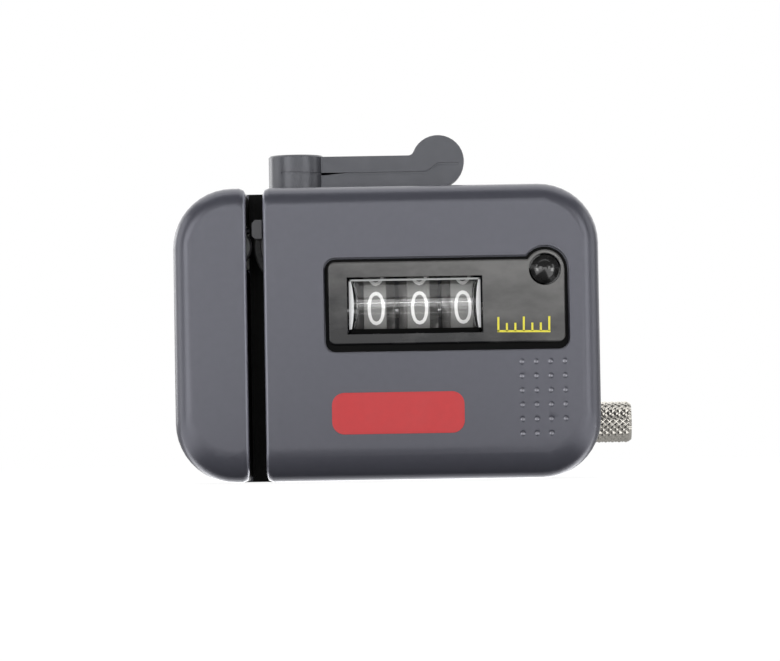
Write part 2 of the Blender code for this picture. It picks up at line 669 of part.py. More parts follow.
def counter_frame():
    """The bracket inside the case: a floor, two cheeks for the axles, and a plate for the wheel shaft."""
    front = INNER_FRONT + FIT_GAP
    back = INNER_REAR - FIT_GAP
    end = FRAME_RIGHT + FRAME_SHEET
    bm = bmesh.new()
    add_box(bm, (FRAME_LEFT, front, FRAME_BOTTOM), (end, back, FRAME_BOTTOM + FRAME_SHEET))
    frame = finish_mesh("counter_frame", bm, steel())
    step = WHEEL_AXIS_Z - WHEEL_RADIUS - FIT_GAP * 2
    setback = FRONT + WHEEL_DEPTH + WHEEL_WIDTH + FIT_GAP * 2
    left_cheek = [(front, FRAME_BOTTOM), (back, FRAME_BOTTOM), (back, PASSAGE_BOTTOM - FIT_GAP * 4),
                  (SLIDE_FRONT - FIT_GAP, CHEEK_TOP), (SLIDE_FRONT - FIT_GAP, BEARING_TOP),
                  (FRONT + BEARING_DEPTH, BEARING_TOP), (FRONT + BEARING_DEPTH, CHEEK_TOP),
                  (setback, CHEEK_TOP), (setback, step), (front, step)]
    join(frame, "left_cheek", lambda tool: add_prism(
        tool, left_cheek, "X", FRAME_LEFT, FRAME_LEFT + FRAME_SHEET))
    right_cheek = [(front, FRAME_BOTTOM), (back, FRAME_BOTTOM), (back, CHEEK_TOP), (front, CHEEK_TOP)]
    join(frame, "right_cheek", lambda tool: add_prism(tool, right_cheek, "X", FRAME_RIGHT, end))
    bearing_left = SLOT_RIGHT + WALL + FIT_GAP
    join(frame, "bearing_plate", lambda tool: add_box(
        tool, (bearing_left, FRONT + BEARING_DEPTH, BEARING_BOTTOM),
        (FRAME_LEFT + FRAME_SHEET / 2, FRONT + BEARING_DEPTH + FRAME_SHEET, BEARING_TOP)))
    combine(frame, "axle_bores", lambda tool: add_turned(
        tool, [(DRUM_AXLE_RADIUS + RUN_GAP, FRAME_LEFT - OVERRUN),
               (DRUM_AXLE_RADIUS + RUN_GAP, end + OVERRUN)], "X", (DRUM_Y, DRUM_AXIS_Z), 16))
    combine(frame, "pinion_bores", lambda tool: add_turned(
        tool, [(PINION_AXLE_RADIUS + RUN_GAP, FRAME_LEFT - OVERRUN),
               (PINION_AXLE_RADIUS + RUN_GAP, end + OVERRUN)], "X", (DRUM_Y, PINION_Z), 12))
    plate = FRONT + BEARING_DEPTH
    combine(frame, "bush_bore", lambda tool: add_turned(
        tool, [(BUSH_RADIUS, plate - OVERRUN), (BUSH_RADIUS, plate + FRAME_SHEET + OVERRUN)],
        "Y", (WHEEL_X, WHEEL_AXIS_Z), 16))
    return frame


BUSH_RADIUS = 0.0019
BUSH_FLANGE = 0.0026


def shaft_bush():
    """The flanged brass bush in the bearing plate."""
    bore = WHEEL_SHAFT_RADIUS + RUN_GAP
    front = FRONT + BEARING_DEPTH - FIT_GAP
    back = FRONT + BEARING_DEPTH + FRAME_SHEET
    bm = bmesh.new()
    flange = front - FRAME_SHEET / 2
    add_turned(bm, [(bore, flange), (BUSH_FLANGE, flange), (BUSH_FLANGE, front),
                    (BUSH_RADIUS - RUN_GAP, front), (BUSH_RADIUS - RUN_GAP, back), (bore, back)],
               "Y", (WHEEL_X, WHEEL_AXIS_Z), 16, bored=True)
    return finish_mesh("shaft_bush", bm, brass())


def wheel_hub():
    """The measuring wheel's moulded hub, dished on both sides, with a groove for the tyre."""
    start = FRONT + WHEEL_DEPTH
    end = start + WHEEL_WIDTH
    rim = WHEEL_RADIUS - TYRE_THICKNESS - RUN_GAP
    bore = WHEEL_SHAFT_RADIUS + RUN_GAP
    boss = WHEEL_SHAFT_RADIUS * 2.2
    dish = WHEEL_WIDTH / 4
    bm = bmesh.new()
    add_turned(bm, [(bore, start), (boss, start), (boss, start + dish), (rim * 0.8, start + dish),
                    (rim * 0.84, start), (rim, start), (rim, end), (rim * 0.84, end), (rim * 0.8, end - dish),
                    (boss, end - dish), (boss, end), (bore, end)],
               "Y", (WHEEL_X, WHEEL_AXIS_Z), 32, bored=True)
    hub = finish_mesh("wheel_hub", bm, acetal())
    set_origin(hub, (WHEEL_X, WHEEL_Y, WHEEL_AXIS_Z))
    return hub


def wheel_tyre():
    """The rubber ring whose rim measures the line, with a shallow groove for it."""
    start = FRONT + WHEEL_DEPTH
    end = start + WHEEL_WIDTH
    inner = WHEEL_RADIUS - TYRE_THICKNESS
    edge = TYRE_THICKNESS / 4
    bm = bmesh.new()
    add_turned(bm, [(inner, start), (WHEEL_RADIUS - edge, start), (WHEEL_RADIUS, start + edge),
                    (WHEEL_RADIUS - edge / 2, (start + end) / 2), (WHEEL_RADIUS, end - edge),
                    (WHEEL_RADIUS - edge, end), (inner, end)], "Y", (WHEEL_X, WHEEL_AXIS_Z), 36, bored=True)
    tyre = finish_mesh("wheel_tyre", bm, rubber())
    set_origin(tyre, (WHEEL_X, WHEEL_Y, WHEEL_AXIS_Z))
    return tyre


def wheel_shaft():
    """The steel shaft of the measuring wheel and the worm."""
    start = INNER_FRONT - FRONT_WALL / 2 + FIT_GAP
    end = FRONT + BEARING_DEPTH + FRAME_SHEET + FIT_GAP
    tip = WHEEL_SHAFT_RADIUS / 4
    bm = bmesh.new()
    add_turned(bm, [(WHEEL_SHAFT_RADIUS - tip, start), (WHEEL_SHAFT_RADIUS, start + tip),
                    (WHEEL_SHAFT_RADIUS, end - tip), (WHEEL_SHAFT_RADIUS - tip, end)],
               "Y", (WHEEL_X, WHEEL_AXIS_Z), 16)
    shaft = finish_mesh("wheel_shaft", bm, steel())
    set_origin(shaft, (WHEEL_X, WHEEL_Y, WHEEL_AXIS_Z))
    return shaft


THREAD_SHARES = ((0.0, 0.0), (0.30, 0.0), (0.42, 1.0), (0.58, 1.0), (0.70, 0.0))
WORM_STEPS = 18


def worm():
    """A one-start worm: rings of a thread profile that climbs a pitch in each turn."""
    turns = int(WORM_LENGTH / THREAD_PITCH)
    root = WORM_PITCH_RADIUS - TOOTH_HEIGHT / 2 - RUN_GAP / 2
    tip = WORM_PITCH_RADIUS + TOOTH_HEIGHT / 2 - RUN_GAP
    half = turns * THREAD_PITCH / 2
    bore = WHEEL_SHAFT_RADIUS + RUN_GAP
    bm = bmesh.new()
    columns = []
    for k in range(WORM_STEPS):
        angle = 2 * pi * k / WORM_STEPS
        shift = THREAD_PITCH * (k / WORM_STEPS)
        profile = [(bore, -half - THREAD_PITCH), (root, -half - THREAD_PITCH)]
        for turn in range(turns):
            for share, height in THREAD_SHARES:
                t = -half + (turn + share) * THREAD_PITCH + shift - THREAD_PITCH * 3 / 4
                profile.append((root + (tip - root) * height, t))
        profile += [(root, half + THREAD_PITCH), (bore, half + THREAD_PITCH)]
        columns.append([(radius, t, angle) for radius, t in profile])
    rows = []
    for column in columns:
        rows.append([bm.verts.new(place("Y", WHEEL_X + r * cos(a), WHEEL_AXIS_Z - r * sin(a), DRUM_Y + t))
                     for r, t, a in column])
    count = len(rows[0])
    first_thread = 2
    per_turn = len(THREAD_SHARES)
    for k in range(WORM_STEPS - 1):
        for i in range(count):
            j = (i + 1) % count
            bm.faces.new((rows[k][i], rows[k][j], rows[k + 1][j], rows[k + 1][i]))
    close_worm(bm, rows[-1], rows[0], first_thread, per_turn, turns)
    made = finish_mesh("worm", bm, brass())
    set_origin(made, (WHEEL_X, WHEEL_Y, WHEEL_AXIS_Z))
    return made


def close_worm(bm, last, first, start, per_turn, turns):
    """Joins the last column to the first one, one thread further on, and closes the two thread ends."""
    count = len(last)
    stop = start + per_turn * turns
    for i in range(start, stop - per_turn):
        bm.faces.new((last[i], last[i + 1], first[i + per_turn + 1], first[i + per_turn]))
    bm.faces.new([last[start - 1], last[start]] + [first[i] for i in range(start + per_turn, start - 2, -1)])
    bm.faces.new([last[i] for i in range(stop - per_turn, stop + 1)] + [first[stop]])
    for i in (0, count - 2, count - 1):
        j = (i + 1) % count
        bm.faces.new((last[i], last[j], first[j], first[i]))


def gear_outline(teeth, root, tip, tooth_share, tip_share, phase, centre):
    """(u, v) points of a gear. Of the pitch, a tooth fills tooth_share at its root and tip_share at its tip."""
    outline = []
    for k in range(teeth):
        middle = phase + 2 * pi * k / teeth
        pitch = 2 * pi / teeth
        flanks = ((root, -tooth_share), (tip, -tip_share), (tip, tip_share), (root, tooth_share))
        for radius, offset in flanks:
            angle = middle + pitch * offset / 2
            outline.append((centre[0] + radius * cos(angle), centre[1] + radius * sin(angle)))
    return outline


GEAR_HUB_RADIUS = 0.0026


def worm_gear():
    """The gear that the worm drives, fixed on the drum axle."""
    root = GEAR_PITCH_RADIUS - TOOTH_HEIGHT / 2 - RUN_GAP / 2
    centre = (DRUM_Y, DRUM_AXIS_Z)
    outline = gear_outline(GEAR_TEETH, root, GEAR_TIP_RADIUS - RUN_GAP / 2, 0.55, 0.25, pi / 2, centre)
    bm = bmesh.new()
    add_prism(bm, outline, "X", WHEEL_X - GEAR_WIDTH / 2, WHEEL_X + GEAR_WIDTH / 2)
    gear = finish_mesh("worm_gear", bm, acetal())
    join(gear, "hub", lambda tool: add_turned(
        tool, [(GEAR_HUB_RADIUS, WHEEL_X - GEAR_WIDTH), (GEAR_HUB_RADIUS, FRAME_LEFT - FIT_GAP)],
        "X", centre, 16))
    combine(gear, "bore", lambda tool: add_turned(
        tool, [(DRUM_AXLE_RADIUS + RUN_GAP, WHEEL_X - GEAR_WIDTH - OVERRUN),
               (DRUM_AXLE_RADIUS + RUN_GAP, FRAME_LEFT)], "X", centre, 16))
    return gear


def drum_axle():
    """The steel axle of the drums and the worm gear."""
    start = WHEEL_X - GEAR_WIDTH - FIT_GAP
    end = FRAME_RIGHT + FRAME_SHEET + FIT_GAP
    bm = bmesh.new()
    add_turned(bm, [(DRUM_AXLE_RADIUS, start), (DRUM_AXLE_RADIUS, end)], "X", (DRUM_Y, DRUM_AXIS_Z), 16)
    return finish_mesh("drum_axle", bm, steel())


def drum_x(index):
    return DRUM_FIRST_X + index * DRUM_PITCH


DRUM_NAMES = ("hundreds_drum", "tens_drum", "units_drum")
DRUM_RIM = 0.0012
FLANGE_CLEAR = 0.00035


def number_drum(index):
    """A number drum: a wide band for the numbers, a toothed flange at its right that a carry pinion
    turns, and at its left a flange with two teeth that turns the next pinion."""
    x = drum_x(index)
    centre = (DRUM_Y, DRUM_AXIS_Z)
    band = DRUM_BAND / 2
    side = DRUM_PITCH / 2 - FLANGE_CLEAR
    tip = CARRY_PITCH_RADIUS + CARRY_MODULE * 0.75
    root = CARRY_PITCH_RADIUS - CARRY_MODULE * 1.0
    bm = bmesh.new()
    edge = DRUM_RIM / 8
    add_turned(bm, [(DRUM_RADIUS - edge, x - band), (DRUM_RADIUS, x - band + edge),
                    (DRUM_RADIUS, x + band - edge), (DRUM_RADIUS - edge, x + band)], "X", centre, 40)
    drum = finish_mesh(DRUM_NAMES[index], bm, drum_plastic())
    if index < DRUM_COUNT - 1:
        teeth = gear_outline(DRUM_TEETH, root, tip, 0.52, 0.26, -pi / 2 + pi / DRUM_TEETH, centre)
        join(drum, "gear", lambda tool: add_prism(tool, teeth, "X", x + band - WELD_DEPTH, x + side))
    else:
        join(drum, "hub", lambda tool: add_turned(
            tool, [(GEAR_HUB_RADIUS * 2, x + band - WELD_DEPTH), (GEAR_HUB_RADIUS * 2, x + side)],
            "X", centre, 20))
    flange = arc(centre, root, pi / 2 + pi / DRUM_TEETH, 5 * pi / 2 - pi / DRUM_TEETH, 28)
    pair = [(centre[0] + tip * cos(pi / 2 + a), centre[1] + tip * sin(pi / 2 + a))
            for a in (-pi / DRUM_TEETH / 2, pi / DRUM_TEETH / 2)]
    outline = flange + pair if index else flange
    join(drum, "carry_flange", lambda tool: add_prism(tool, outline, "X", x - side, x - band + WELD_DEPTH))
    bore = DRUM_AXLE_RADIUS + RUN_GAP
    combine(drum, "bore", lambda tool: add_turned(
        tool, [(bore, x - side - OVERRUN), (bore, x + side + OVERRUN)], "X", centre, 16))
    return drum


PINION_NAMES = ("carry_pinion_hundreds", "carry_pinion_tens")


def carry_pinion(index):
    """A carry pinion between two drums, in mesh with the left one's toothed flange."""
    x = drum_x(index) + DRUM_PITCH / 2
    centre = (DRUM_Y, PINION_Z)
    half = DRUM_PITCH / 2 - DRUM_BAND / 2 - FIT_GAP
    tip = PINION_PITCH_RADIUS + CARRY_MODULE * 0.75
    root = PINION_PITCH_RADIUS - CARRY_MODULE * 0.95
    outline = gear_outline(PINION_TEETH, root, tip, 0.56, 0.24, pi / 2, centre)
    bm = bmesh.new()
    add_prism(bm, outline, "X", x - half, x + half)
    pinion = finish_mesh(PINION_NAMES[index], bm, acetal())
    bore = PINION_AXLE_RADIUS + RUN_GAP
    combine(pinion, "bore", lambda tool: add_turned(
        tool, [(bore, x - half - OVERRUN), (bore, x + half + OVERRUN)], "X", centre, 12))
    return pinion


def pinion_axle():
    bm = bmesh.new()
    add_turned(bm, [(PINION_AXLE_RADIUS, FRAME_LEFT - FIT_GAP),
                    (PINION_AXLE_RADIUS, FRAME_RIGHT + FRAME_SHEET + FIT_GAP)], "X", (DRUM_Y, PINION_Z), 12)
    return finish_mesh("pinion_axle", bm, steel())


BUTTON_FACETS = 5
BUTTON_FLANGE = 0.0006
BUTTON_STEM_RADIUS = 0.0011
BUTTON_STEM_END = BODY_DEPTH * 0.714286
BUTTON_POST_RADIUS = 0.0025
BUTTON_POST_DEPTH = BODY_DEPTH * 0.607143
RESET_BAR_HEIGHT = 0.0018
RESET_BAR_DEPTH = 0.0020
RESET_BAR_Y = BODY_DEPTH * 0.357143
FINGER_WIDTH = 0.0016
DRUM_HEADROOM = 0.0009


def button_cap(bm):
    """The button's head: a disc whose face falls away in facets from a raised middle."""
    face = FRONT - BUTTON_PROUD
    base = INNER_FRONT + FIT_GAP
    ring_low = []
    ring_high = []
    count = BUTTON_FACETS * 4
    for i in range(count):
        angle = pi / 2 + 2 * pi * i / count
        valley = 0.5 - 0.5 * cos(2 * pi * i * BUTTON_FACETS / count)
        point = (BUTTON_X + BUTTON_RADIUS * cos(angle), BUTTON_Z + BUTTON_RADIUS * sin(angle))
        ring_high.append(place("Y", point[0], point[1], face + BUTTON_PROUD * (1 + valley)))
        ring_low.append(place("Y", point[0], point[1], base))
    high = [bm.verts.new(p) for p in ring_high]
    low = [bm.verts.new(p) for p in ring_low]
    top = bm.verts.new(place("Y", BUTTON_X, BUTTON_Z, face))
    for i in range(count):
        j = (i + 1) % count
        bm.faces.new((top, high[i], high[j]))
        bm.faces.new((high[i], low[i], low[j], high[j]))
    bm.faces.new(low)


def reset_button():
    """The reset button: faceted cap, flange behind the panel and a stem for the spring."""
    bm = bmesh.new()
    button_cap(bm)
    button = finish_mesh("reset_button", bm, gloss_black())
    start = INNER_FRONT + FIT_GAP
    centre = (BUTTON_X, BUTTON_Z)
    rim = BUTTON_RADIUS + BUTTON_FLANGE
    join(button, "flange", lambda tool: add_turned(
        tool, [(rim, start), (rim, start + BUTTON_FLANGE)], "Y", centre, 20))
    join(button, "stem", lambda tool: add_turned(
        tool, [(BUTTON_STEM_RADIUS, start), (BUTTON_STEM_RADIUS, FRONT + BUTTON_STEM_END)], "Y", centre, 12))
    return button


def reset_bar():
    """The bar from the button's stem over the drums, with a finger above each one."""
    low_z = DRUM_AXIS_Z + DRUM_RADIUS + DRUM_HEADROOM
    high_z = low_z + RESET_BAR_HEIGHT
    start_y = FRONT + RESET_BAR_Y
    end_y = start_y + RESET_BAR_DEPTH
    bm = bmesh.new()
    link_right = BUTTON_X + BUTTON_STEM_RADIUS - RUN_GAP
    add_box(bm, (drum_x(0) - FINGER_WIDTH, start_y, low_z), (link_right, end_y, high_z))
    bar = finish_mesh("reset_bar", bm, inner_plastic())
    eye = BUTTON_STEM_RADIUS * 2
    join(bar, "eye", lambda tool: add_turned(
        tool, [(eye, start_y), (eye, end_y)], "Y", (BUTTON_X, BUTTON_Z), 20))
    join(bar, "link", lambda tool: add_box(
        tool, (BUTTON_X - eye * 0.8, start_y, BUTTON_Z), (link_right - RUN_GAP, end_y, low_z + WELD_DEPTH)))
    bore = BUTTON_STEM_RADIUS + RUN_GAP
    combine(bar, "eye_bore", lambda tool: add_turned(
        tool, [(bore, start_y - OVERRUN), (bore, end_y + OVERRUN)], "Y", (BUTTON_X, BUTTON_Z), 12))
    for index in range(DRUM_COUNT):
        x = drum_x(index)
        join(bar, f"finger_{index}", lambda tool, x=x: add_box(
            tool, (x - FINGER_WIDTH / 2, start_y, low_z - DRUM_HEADROOM / 2),
            (x + FINGER_WIDTH / 2, end_y + RESET_BAR_DEPTH, low_z + RESET_BAR_HEIGHT / 2)))
    return bar


def coil(name, axis, centre, start, end, radius, wire, turns, paint):
    """A compression spring as one helical wire with round ends filled."""
    per_turn = 10
    curve = bpy.data.curves.new(name, "CURVE")
    curve.dimensions = "3D"
    curve.bevel_depth = wire
    curve.bevel_resolution = 1
    curve.use_fill_caps = True
    spline = curve.splines.new("POLY")
    count = turns * per_turn + 1
    spline.points.add(count - 1)
    for i in range(count):
        angle = 2 * pi * i / per_turn
        t = start + wire + (end - start - 2 * wire) * i / (count - 1)
        point = place(axis, centre[0] + radius * cos(angle), centre[1] + radius * sin(angle), t)
        spline.points[i].co = (*point, 1.0)
    obj = bpy.data.objects.new(name, curve)
    bpy.context.scene.collection.objects.link(obj)
    curve.materials.append(paint)
    return obj


SPRING_WIRE = 0.00022
BUTTON_SPRING_TURNS = 5
PRESSURE_SPRING_TURNS = 5
PRESSURE_SPRING_RADIUS = 0.0008


def button_spring():
    """The spring between the reset bar and the case's post."""
    start = FRONT + RESET_BAR_Y + RESET_BAR_DEPTH + FIT_GAP
    end = FRONT + BUTTON_POST_DEPTH - FIT_GAP
    return coil("button_spring", "Y", (BUTTON_X, BUTTON_Z), start, end,
                BUTTON_STEM_RADIUS + SPRING_WIRE + FIT_GAP, SPRING_WIRE, BUTTON_SPRING_TURNS, steel())


def lever():
    """The release lever: round boss, flat arm and thumb disc, with its shaft below."""
    base = BODY_HEIGHT + FIT_GAP
    top = base + LEVER_HEIGHT
    edge = LEVER_BOSS_RADIUS * 0.06
    centre = (LEVER_X, LEVER_Y)
    bm = bmesh.new()
    add_turned(bm, [(LEVER_BOSS_RADIUS, base), (LEVER_BOSS_RADIUS, top - edge),
                    (LEVER_BOSS_RADIUS - edge, top)], "Z", centre, 36)
    handle = finish_mesh("lever", bm, case_plastic())
    arm_front = LEVER_Y - LEVER_ARM_WIDTH / 2
    arm_back = LEVER_Y + LEVER_ARM_WIDTH / 2
    arm_top = top - edge
    disc_z = base + PADDLE_RADIUS
    neck = paddle_outline(base, arm_top, disc_z)
    join(handle, "arm", lambda tool: add_prism(tool, neck, "Y", arm_front, arm_back))
    step = cam_top() + WELD_DEPTH + RUN_GAP
    join(handle, "shaft", lambda tool: add_turned(
        tool, [(LEVER_PIN_RADIUS, cam_bottom() - FIT_GAP), (LEVER_PIN_RADIUS, step),
               (LEVER_SHAFT_RADIUS, step), (LEVER_SHAFT_RADIUS, base + WELD_DEPTH)], "Z", centre, 16))
    set_origin(handle, (LEVER_X, LEVER_Y, base))
    return handle


def paddle_outline(base, arm_top, disc_z):
    """Side outline of the arm and the thumb disc, with a small fillet where they meet."""
    fillet_z = arm_top + PADDLE_FILLET
    reach = PADDLE_RADIUS + PADDLE_FILLET
    slope = asin((fillet_z - disc_z) / reach)
    outline = [(LEVER_X, base)]
    outline += arc((PADDLE_X, disc_z), PADDLE_RADIUS, -pi / 2, pi - slope, 24)
    outline += arc((PADDLE_X - reach * cos(slope), fillet_z), PADDLE_FILLET, -slope, -pi / 2, 4)[1:]
    outline += [(LEVER_X, arm_top)]
    return outline


def cam_bottom():
    return INNER_TOP - FIT_GAP - YOKE_DROP


def cam_top():
    return cam_bottom() + YOKE_HEIGHT + FIT_GAP


def cam_centre():
    """The cam's middle at rest, off the shaft so that a quarter turn moves it by the roller's lift."""
    return (LEVER_X + CAM_OFFSET, LEVER_Y - CAM_OFFSET)


YOKE_DROP = 0.0046
YOKE_HEIGHT = 0.0018
YOKE_RIM = 0.0006


def lever_cam():
    """The round cam below the case's top, keyed on the lever's shaft and off its axis."""
    low = cam_bottom()
    step = cam_top() + WELD_DEPTH
    bm = bmesh.new()
    add_turned(bm, [(CAM_RADIUS, low), (CAM_RADIUS, step)], "Z", cam_centre(), 24)
    cam = finish_mesh("lever_cam", bm, acetal())
    join(cam, "collar", lambda tool: add_turned(
        tool, [(LEVER_SHAFT_RADIUS * 1.5, cam_top()), (LEVER_SHAFT_RADIUS * 1.5, INNER_TOP - FIT_GAP)],
        "Z", (LEVER_X, LEVER_Y), 20))
    pin = LEVER_PIN_RADIUS + RUN_GAP
    shaft = LEVER_SHAFT_RADIUS + RUN_GAP
    combine(cam, "bore", lambda tool: add_turned(
        tool, [(pin, low - OVERRUN), (pin, step), (shaft, step), (shaft, INNER_TOP + OVERRUN)],
        "Z", (LEVER_X, LEVER_Y), 16))
    set_origin(cam, (LEVER_X, LEVER_Y, low))
    return cam


def roller_slide():
    """The slide that carries the pressure roller: a plate behind the slot, a post for the roller's pin
    and a yoke round the lever's cam."""
    bottom = PASSAGE_BOTTOM + FIT_GAP
    top = PASSAGE_TOP - FIT_GAP
    left = ROLLER_X - ROLLER_RADIUS
    right = LEVER_X + CAM_OFFSET + CAM_RADIUS + FIT_GAP + YOKE_RIM
    bm = bmesh.new()
    add_box(bm, (left, SLIDE_FRONT, bottom), (right, SLIDE_BACK, top))
    slide = finish_mesh("roller_slide", bm, acetal())
    join(slide, "post", lambda tool: add_turned(
        tool, [(SLIDE_POST_RADIUS, FRONT + WHEEL_DEPTH + WHEEL_WIDTH + FIT_GAP * 2),
               (SLIDE_POST_RADIUS, SLIDE_FRONT + WELD_DEPTH)], "Y", (ROLLER_X, WHEEL_AXIS_Z), 20))
    yoke_low = cam_bottom()
    yoke_left = LEVER_X + CAM_OFFSET - CAM_RADIUS - FIT_GAP - YOKE_RIM
    join(slide, "riser", lambda tool: add_box(
        tool, (yoke_left, SLIDE_FRONT, top - WELD_DEPTH), (right, SLIDE_BACK, yoke_low + YOKE_HEIGHT)))
    yoke_front = LEVER_Y - CAM_OFFSET * sqrt(2) - CAM_RADIUS - FIT_GAP - YOKE_RIM
    join(slide, "yoke", lambda tool: add_box(
        tool, (yoke_left, yoke_front, yoke_low), (right, SLIDE_FRONT + WELD_DEPTH, yoke_low + YOKE_HEIGHT)))
    combine(slide, "yoke_slot", lambda tool: add_box(
        tool, (yoke_left + YOKE_RIM, yoke_front + YOKE_RIM, yoke_low - OVERRUN),
        (right - YOKE_RIM, LEVER_Y + LEVER_SHAFT_RADIUS + FIT_GAP, yoke_low + YOKE_HEIGHT + OVERRUN)))
    combine(slide, "pin_bore", lambda tool: add_turned(
        tool, [(ROLLER_PIN_RADIUS + RUN_GAP, FRONT), (ROLLER_PIN_RADIUS + RUN_GAP, SLIDE_BACK - FIT_GAP * 2)],
        "Y", (ROLLER_X, WHEEL_AXIS_Z), 12))
    return slide


def roller_pin():
    """The steel pin that the pressure roller turns on."""
    head = ROLLER_PIN_RADIUS * 1.8
    start = FRONT + WHEEL_DEPTH - FIT_GAP
    bm = bmesh.new()
    add_turned(bm, [(head, start - FIT_GAP), (head, start), (ROLLER_PIN_RADIUS, start),
                    (ROLLER_PIN_RADIUS, SLIDE_BACK - FIT_GAP * 3)], "Y", (ROLLER_X, WHEEL_AXIS_Z), 12)
    return finish_mesh("roller_pin", bm, steel())


def pressure_roller():
    """The free roller that presses the line on the measuring wheel."""
    start = FRONT + WHEEL_DEPTH
    end = start + WHEEL_WIDTH + FIT_GAP
    edge = ROLLER_RADIUS / 10
    bore = ROLLER_PIN_RADIUS + RUN_GAP
    outer = ROLLER_RADIUS - FIT_GAP
    bm = bmesh.new()
    add_turned(bm, [(bore, start), (outer - edge, start), (outer, start + edge), (outer, end - edge),
                    (outer - edge, end), (bore, end)], "Y", (ROLLER_X, WHEEL_AXIS_Z), 28, bored=True)
    roller = finish_mesh("pressure_roller", bm, steel())
    set_origin(roller, (ROLLER_X, WHEEL_Y, WHEEL_AXIS_Z))
    return roller


def pressure_spring():
    """The spring at the slide's left end that pushes the roller to the wheel."""
    start = LEFT + WALL + FIT_GAP
    end = ROLLER_X - ROLLER_RADIUS - FIT_GAP
    return coil("pressure_spring", "X", ((SLIDE_FRONT + SLIDE_BACK) / 2, WHEEL_AXIS_Z), start, end,
                PRESSURE_SPRING_RADIUS, SPRING_WIRE, PRESSURE_SPRING_TURNS, steel())


FLANGE_HEIGHT = 0.0072
FLANGE_CORNER = 0.0020
PLATE_CORNER = 0.0050
CLAMP_SCREW_REACH = 0.0034
JAW_THICKNESS = 0.0057
LUG_THICKNESS = 0.0040
PAD_THICKNESS = 0.0020
PAD_GROOVE = 0.0007
RAIL_HALF = 0.0040
RAIL_FLARE = 0.0010
JAW_LENGTH = 0.0153
JAW_EDGE = 0.0012


def clamp_screw_places():
    """(x, z) of the screws that hold the clamp's base to the case, above the jaws."""
    z = CLAMP_FOOT + CLAMP_HEIGHT + FLANGE_HEIGHT / 2
    inset = (CLAMP_RIGHT - CLAMP_LEFT) / 8
    return [(CLAMP_LEFT + inset, z), (CLAMP_RIGHT - inset, z)]


def clamp_screws():
    head_top = PLATE_BACK + SCREW_HEAD_HEIGHT * 0.3
    for index, (x, z) in enumerate(clamp_screw_places()):
        machine_screw(f"clamp_mount_screw_{index + 1}", head_top, x, z, CLAMP_SCREW_REACH)


def jaw_outline(left, right):
    """(x, y) outline of a jaw, with the two corners away from the case cut off."""
    return [(left, PLATE_BACK - WELD_DEPTH), (right, PLATE_BACK - WELD_DEPTH), (right, CLAMP_END - JAW_EDGE),
            (right - JAW_EDGE, CLAMP_END), (left + JAW_EDGE, CLAMP_END), (left, CLAMP_END - JAW_EDGE)]


def rail_outline(gap):
    """(y, z) outline of the undercut rail: wider at its top than at the plate."""
    low = PLATE_BACK - WELD_DEPTH
    top = RAIL_TOP + gap
    foot = RAIL_HALF + gap
    head = RAIL_HALF + RAIL_FLARE + gap
    return [(low, CLAMP_MID_Z - foot), (top, CLAMP_MID_Z - head),
            (top, CLAMP_MID_Z + head), (low, CLAMP_MID_Z + foot)]


def clamp_base():
    """The clamp's base on the back of the case: plate, fixed jaw, rail and the lug of the screw."""
    low = CLAMP_FOOT
    high = CLAMP_FOOT + CLAMP_HEIGHT
    outline = rounded_outline(CLAMP_LEFT, CLAMP_RIGHT, low, high + FLANGE_HEIGHT, [PLATE_CORNER] * 4, 5)
    bm = bmesh.new()
    add_prism(bm, outline, "Y", PLATE_FRONT, PLATE_BACK)
    base = finish_mesh("clamp_base", bm, case_plastic())
    fixed_right = CLAMP_LEFT + JAW_THICKNESS
    lug_left = CLAMP_RIGHT - LUG_THICKNESS
    join(base, "fixed_jaw", lambda tool: add_prism(
        tool, jaw_outline(CLAMP_LEFT, fixed_right), "Z", low + FLANGE_CORNER / 2, high))
    join(base, "lug", lambda tool: add_prism(
        tool, jaw_outline(lug_left, CLAMP_RIGHT), "Z", low + PLATE_CORNER / 2, high))
    join(base, "rail", lambda tool: add_prism(
        tool, rail_outline(0), "X", fixed_right - WELD_DEPTH, lug_left + WELD_DEPTH))
    combine(base, "screw_bore", lambda tool: add_turned(
        tool, [(SCREW_RADIUS + RUN_GAP, lug_left - OVERRUN), (SCREW_RADIUS + RUN_GAP, CLAMP_RIGHT + OVERRUN)],
        "X", (SCREW_Y, CLAMP_MID_Z), 16))
    for index, (x, z) in enumerate(clamp_screw_places()):
        combine(base, f"mount_hole_{index}", lambda tool, x=x, z=z: mount_hole(tool, x, z))
    return base


def mount_hole(bm, x, z):
    seat = PLATE_BACK - SCREW_HEAD_HEIGHT * 0.7 - RUN_GAP
    shank = CASE_SCREW_RADIUS + RUN_GAP
    head = SCREW_HEAD_RADIUS + RUN_GAP
    add_turned(bm, [(shank, PLATE_FRONT - OVERRUN), (shank, seat), (head, seat), (head, PLATE_BACK + OVERRUN)],
               "Y", (x, z), 16)


def jaw_left():
    """The moving jaw's left face at rest."""
    return CLAMP_LEFT + JAW_THICKNESS + (PAD_THICKNESS + FIT_GAP) * 2 + JAW_GRIP


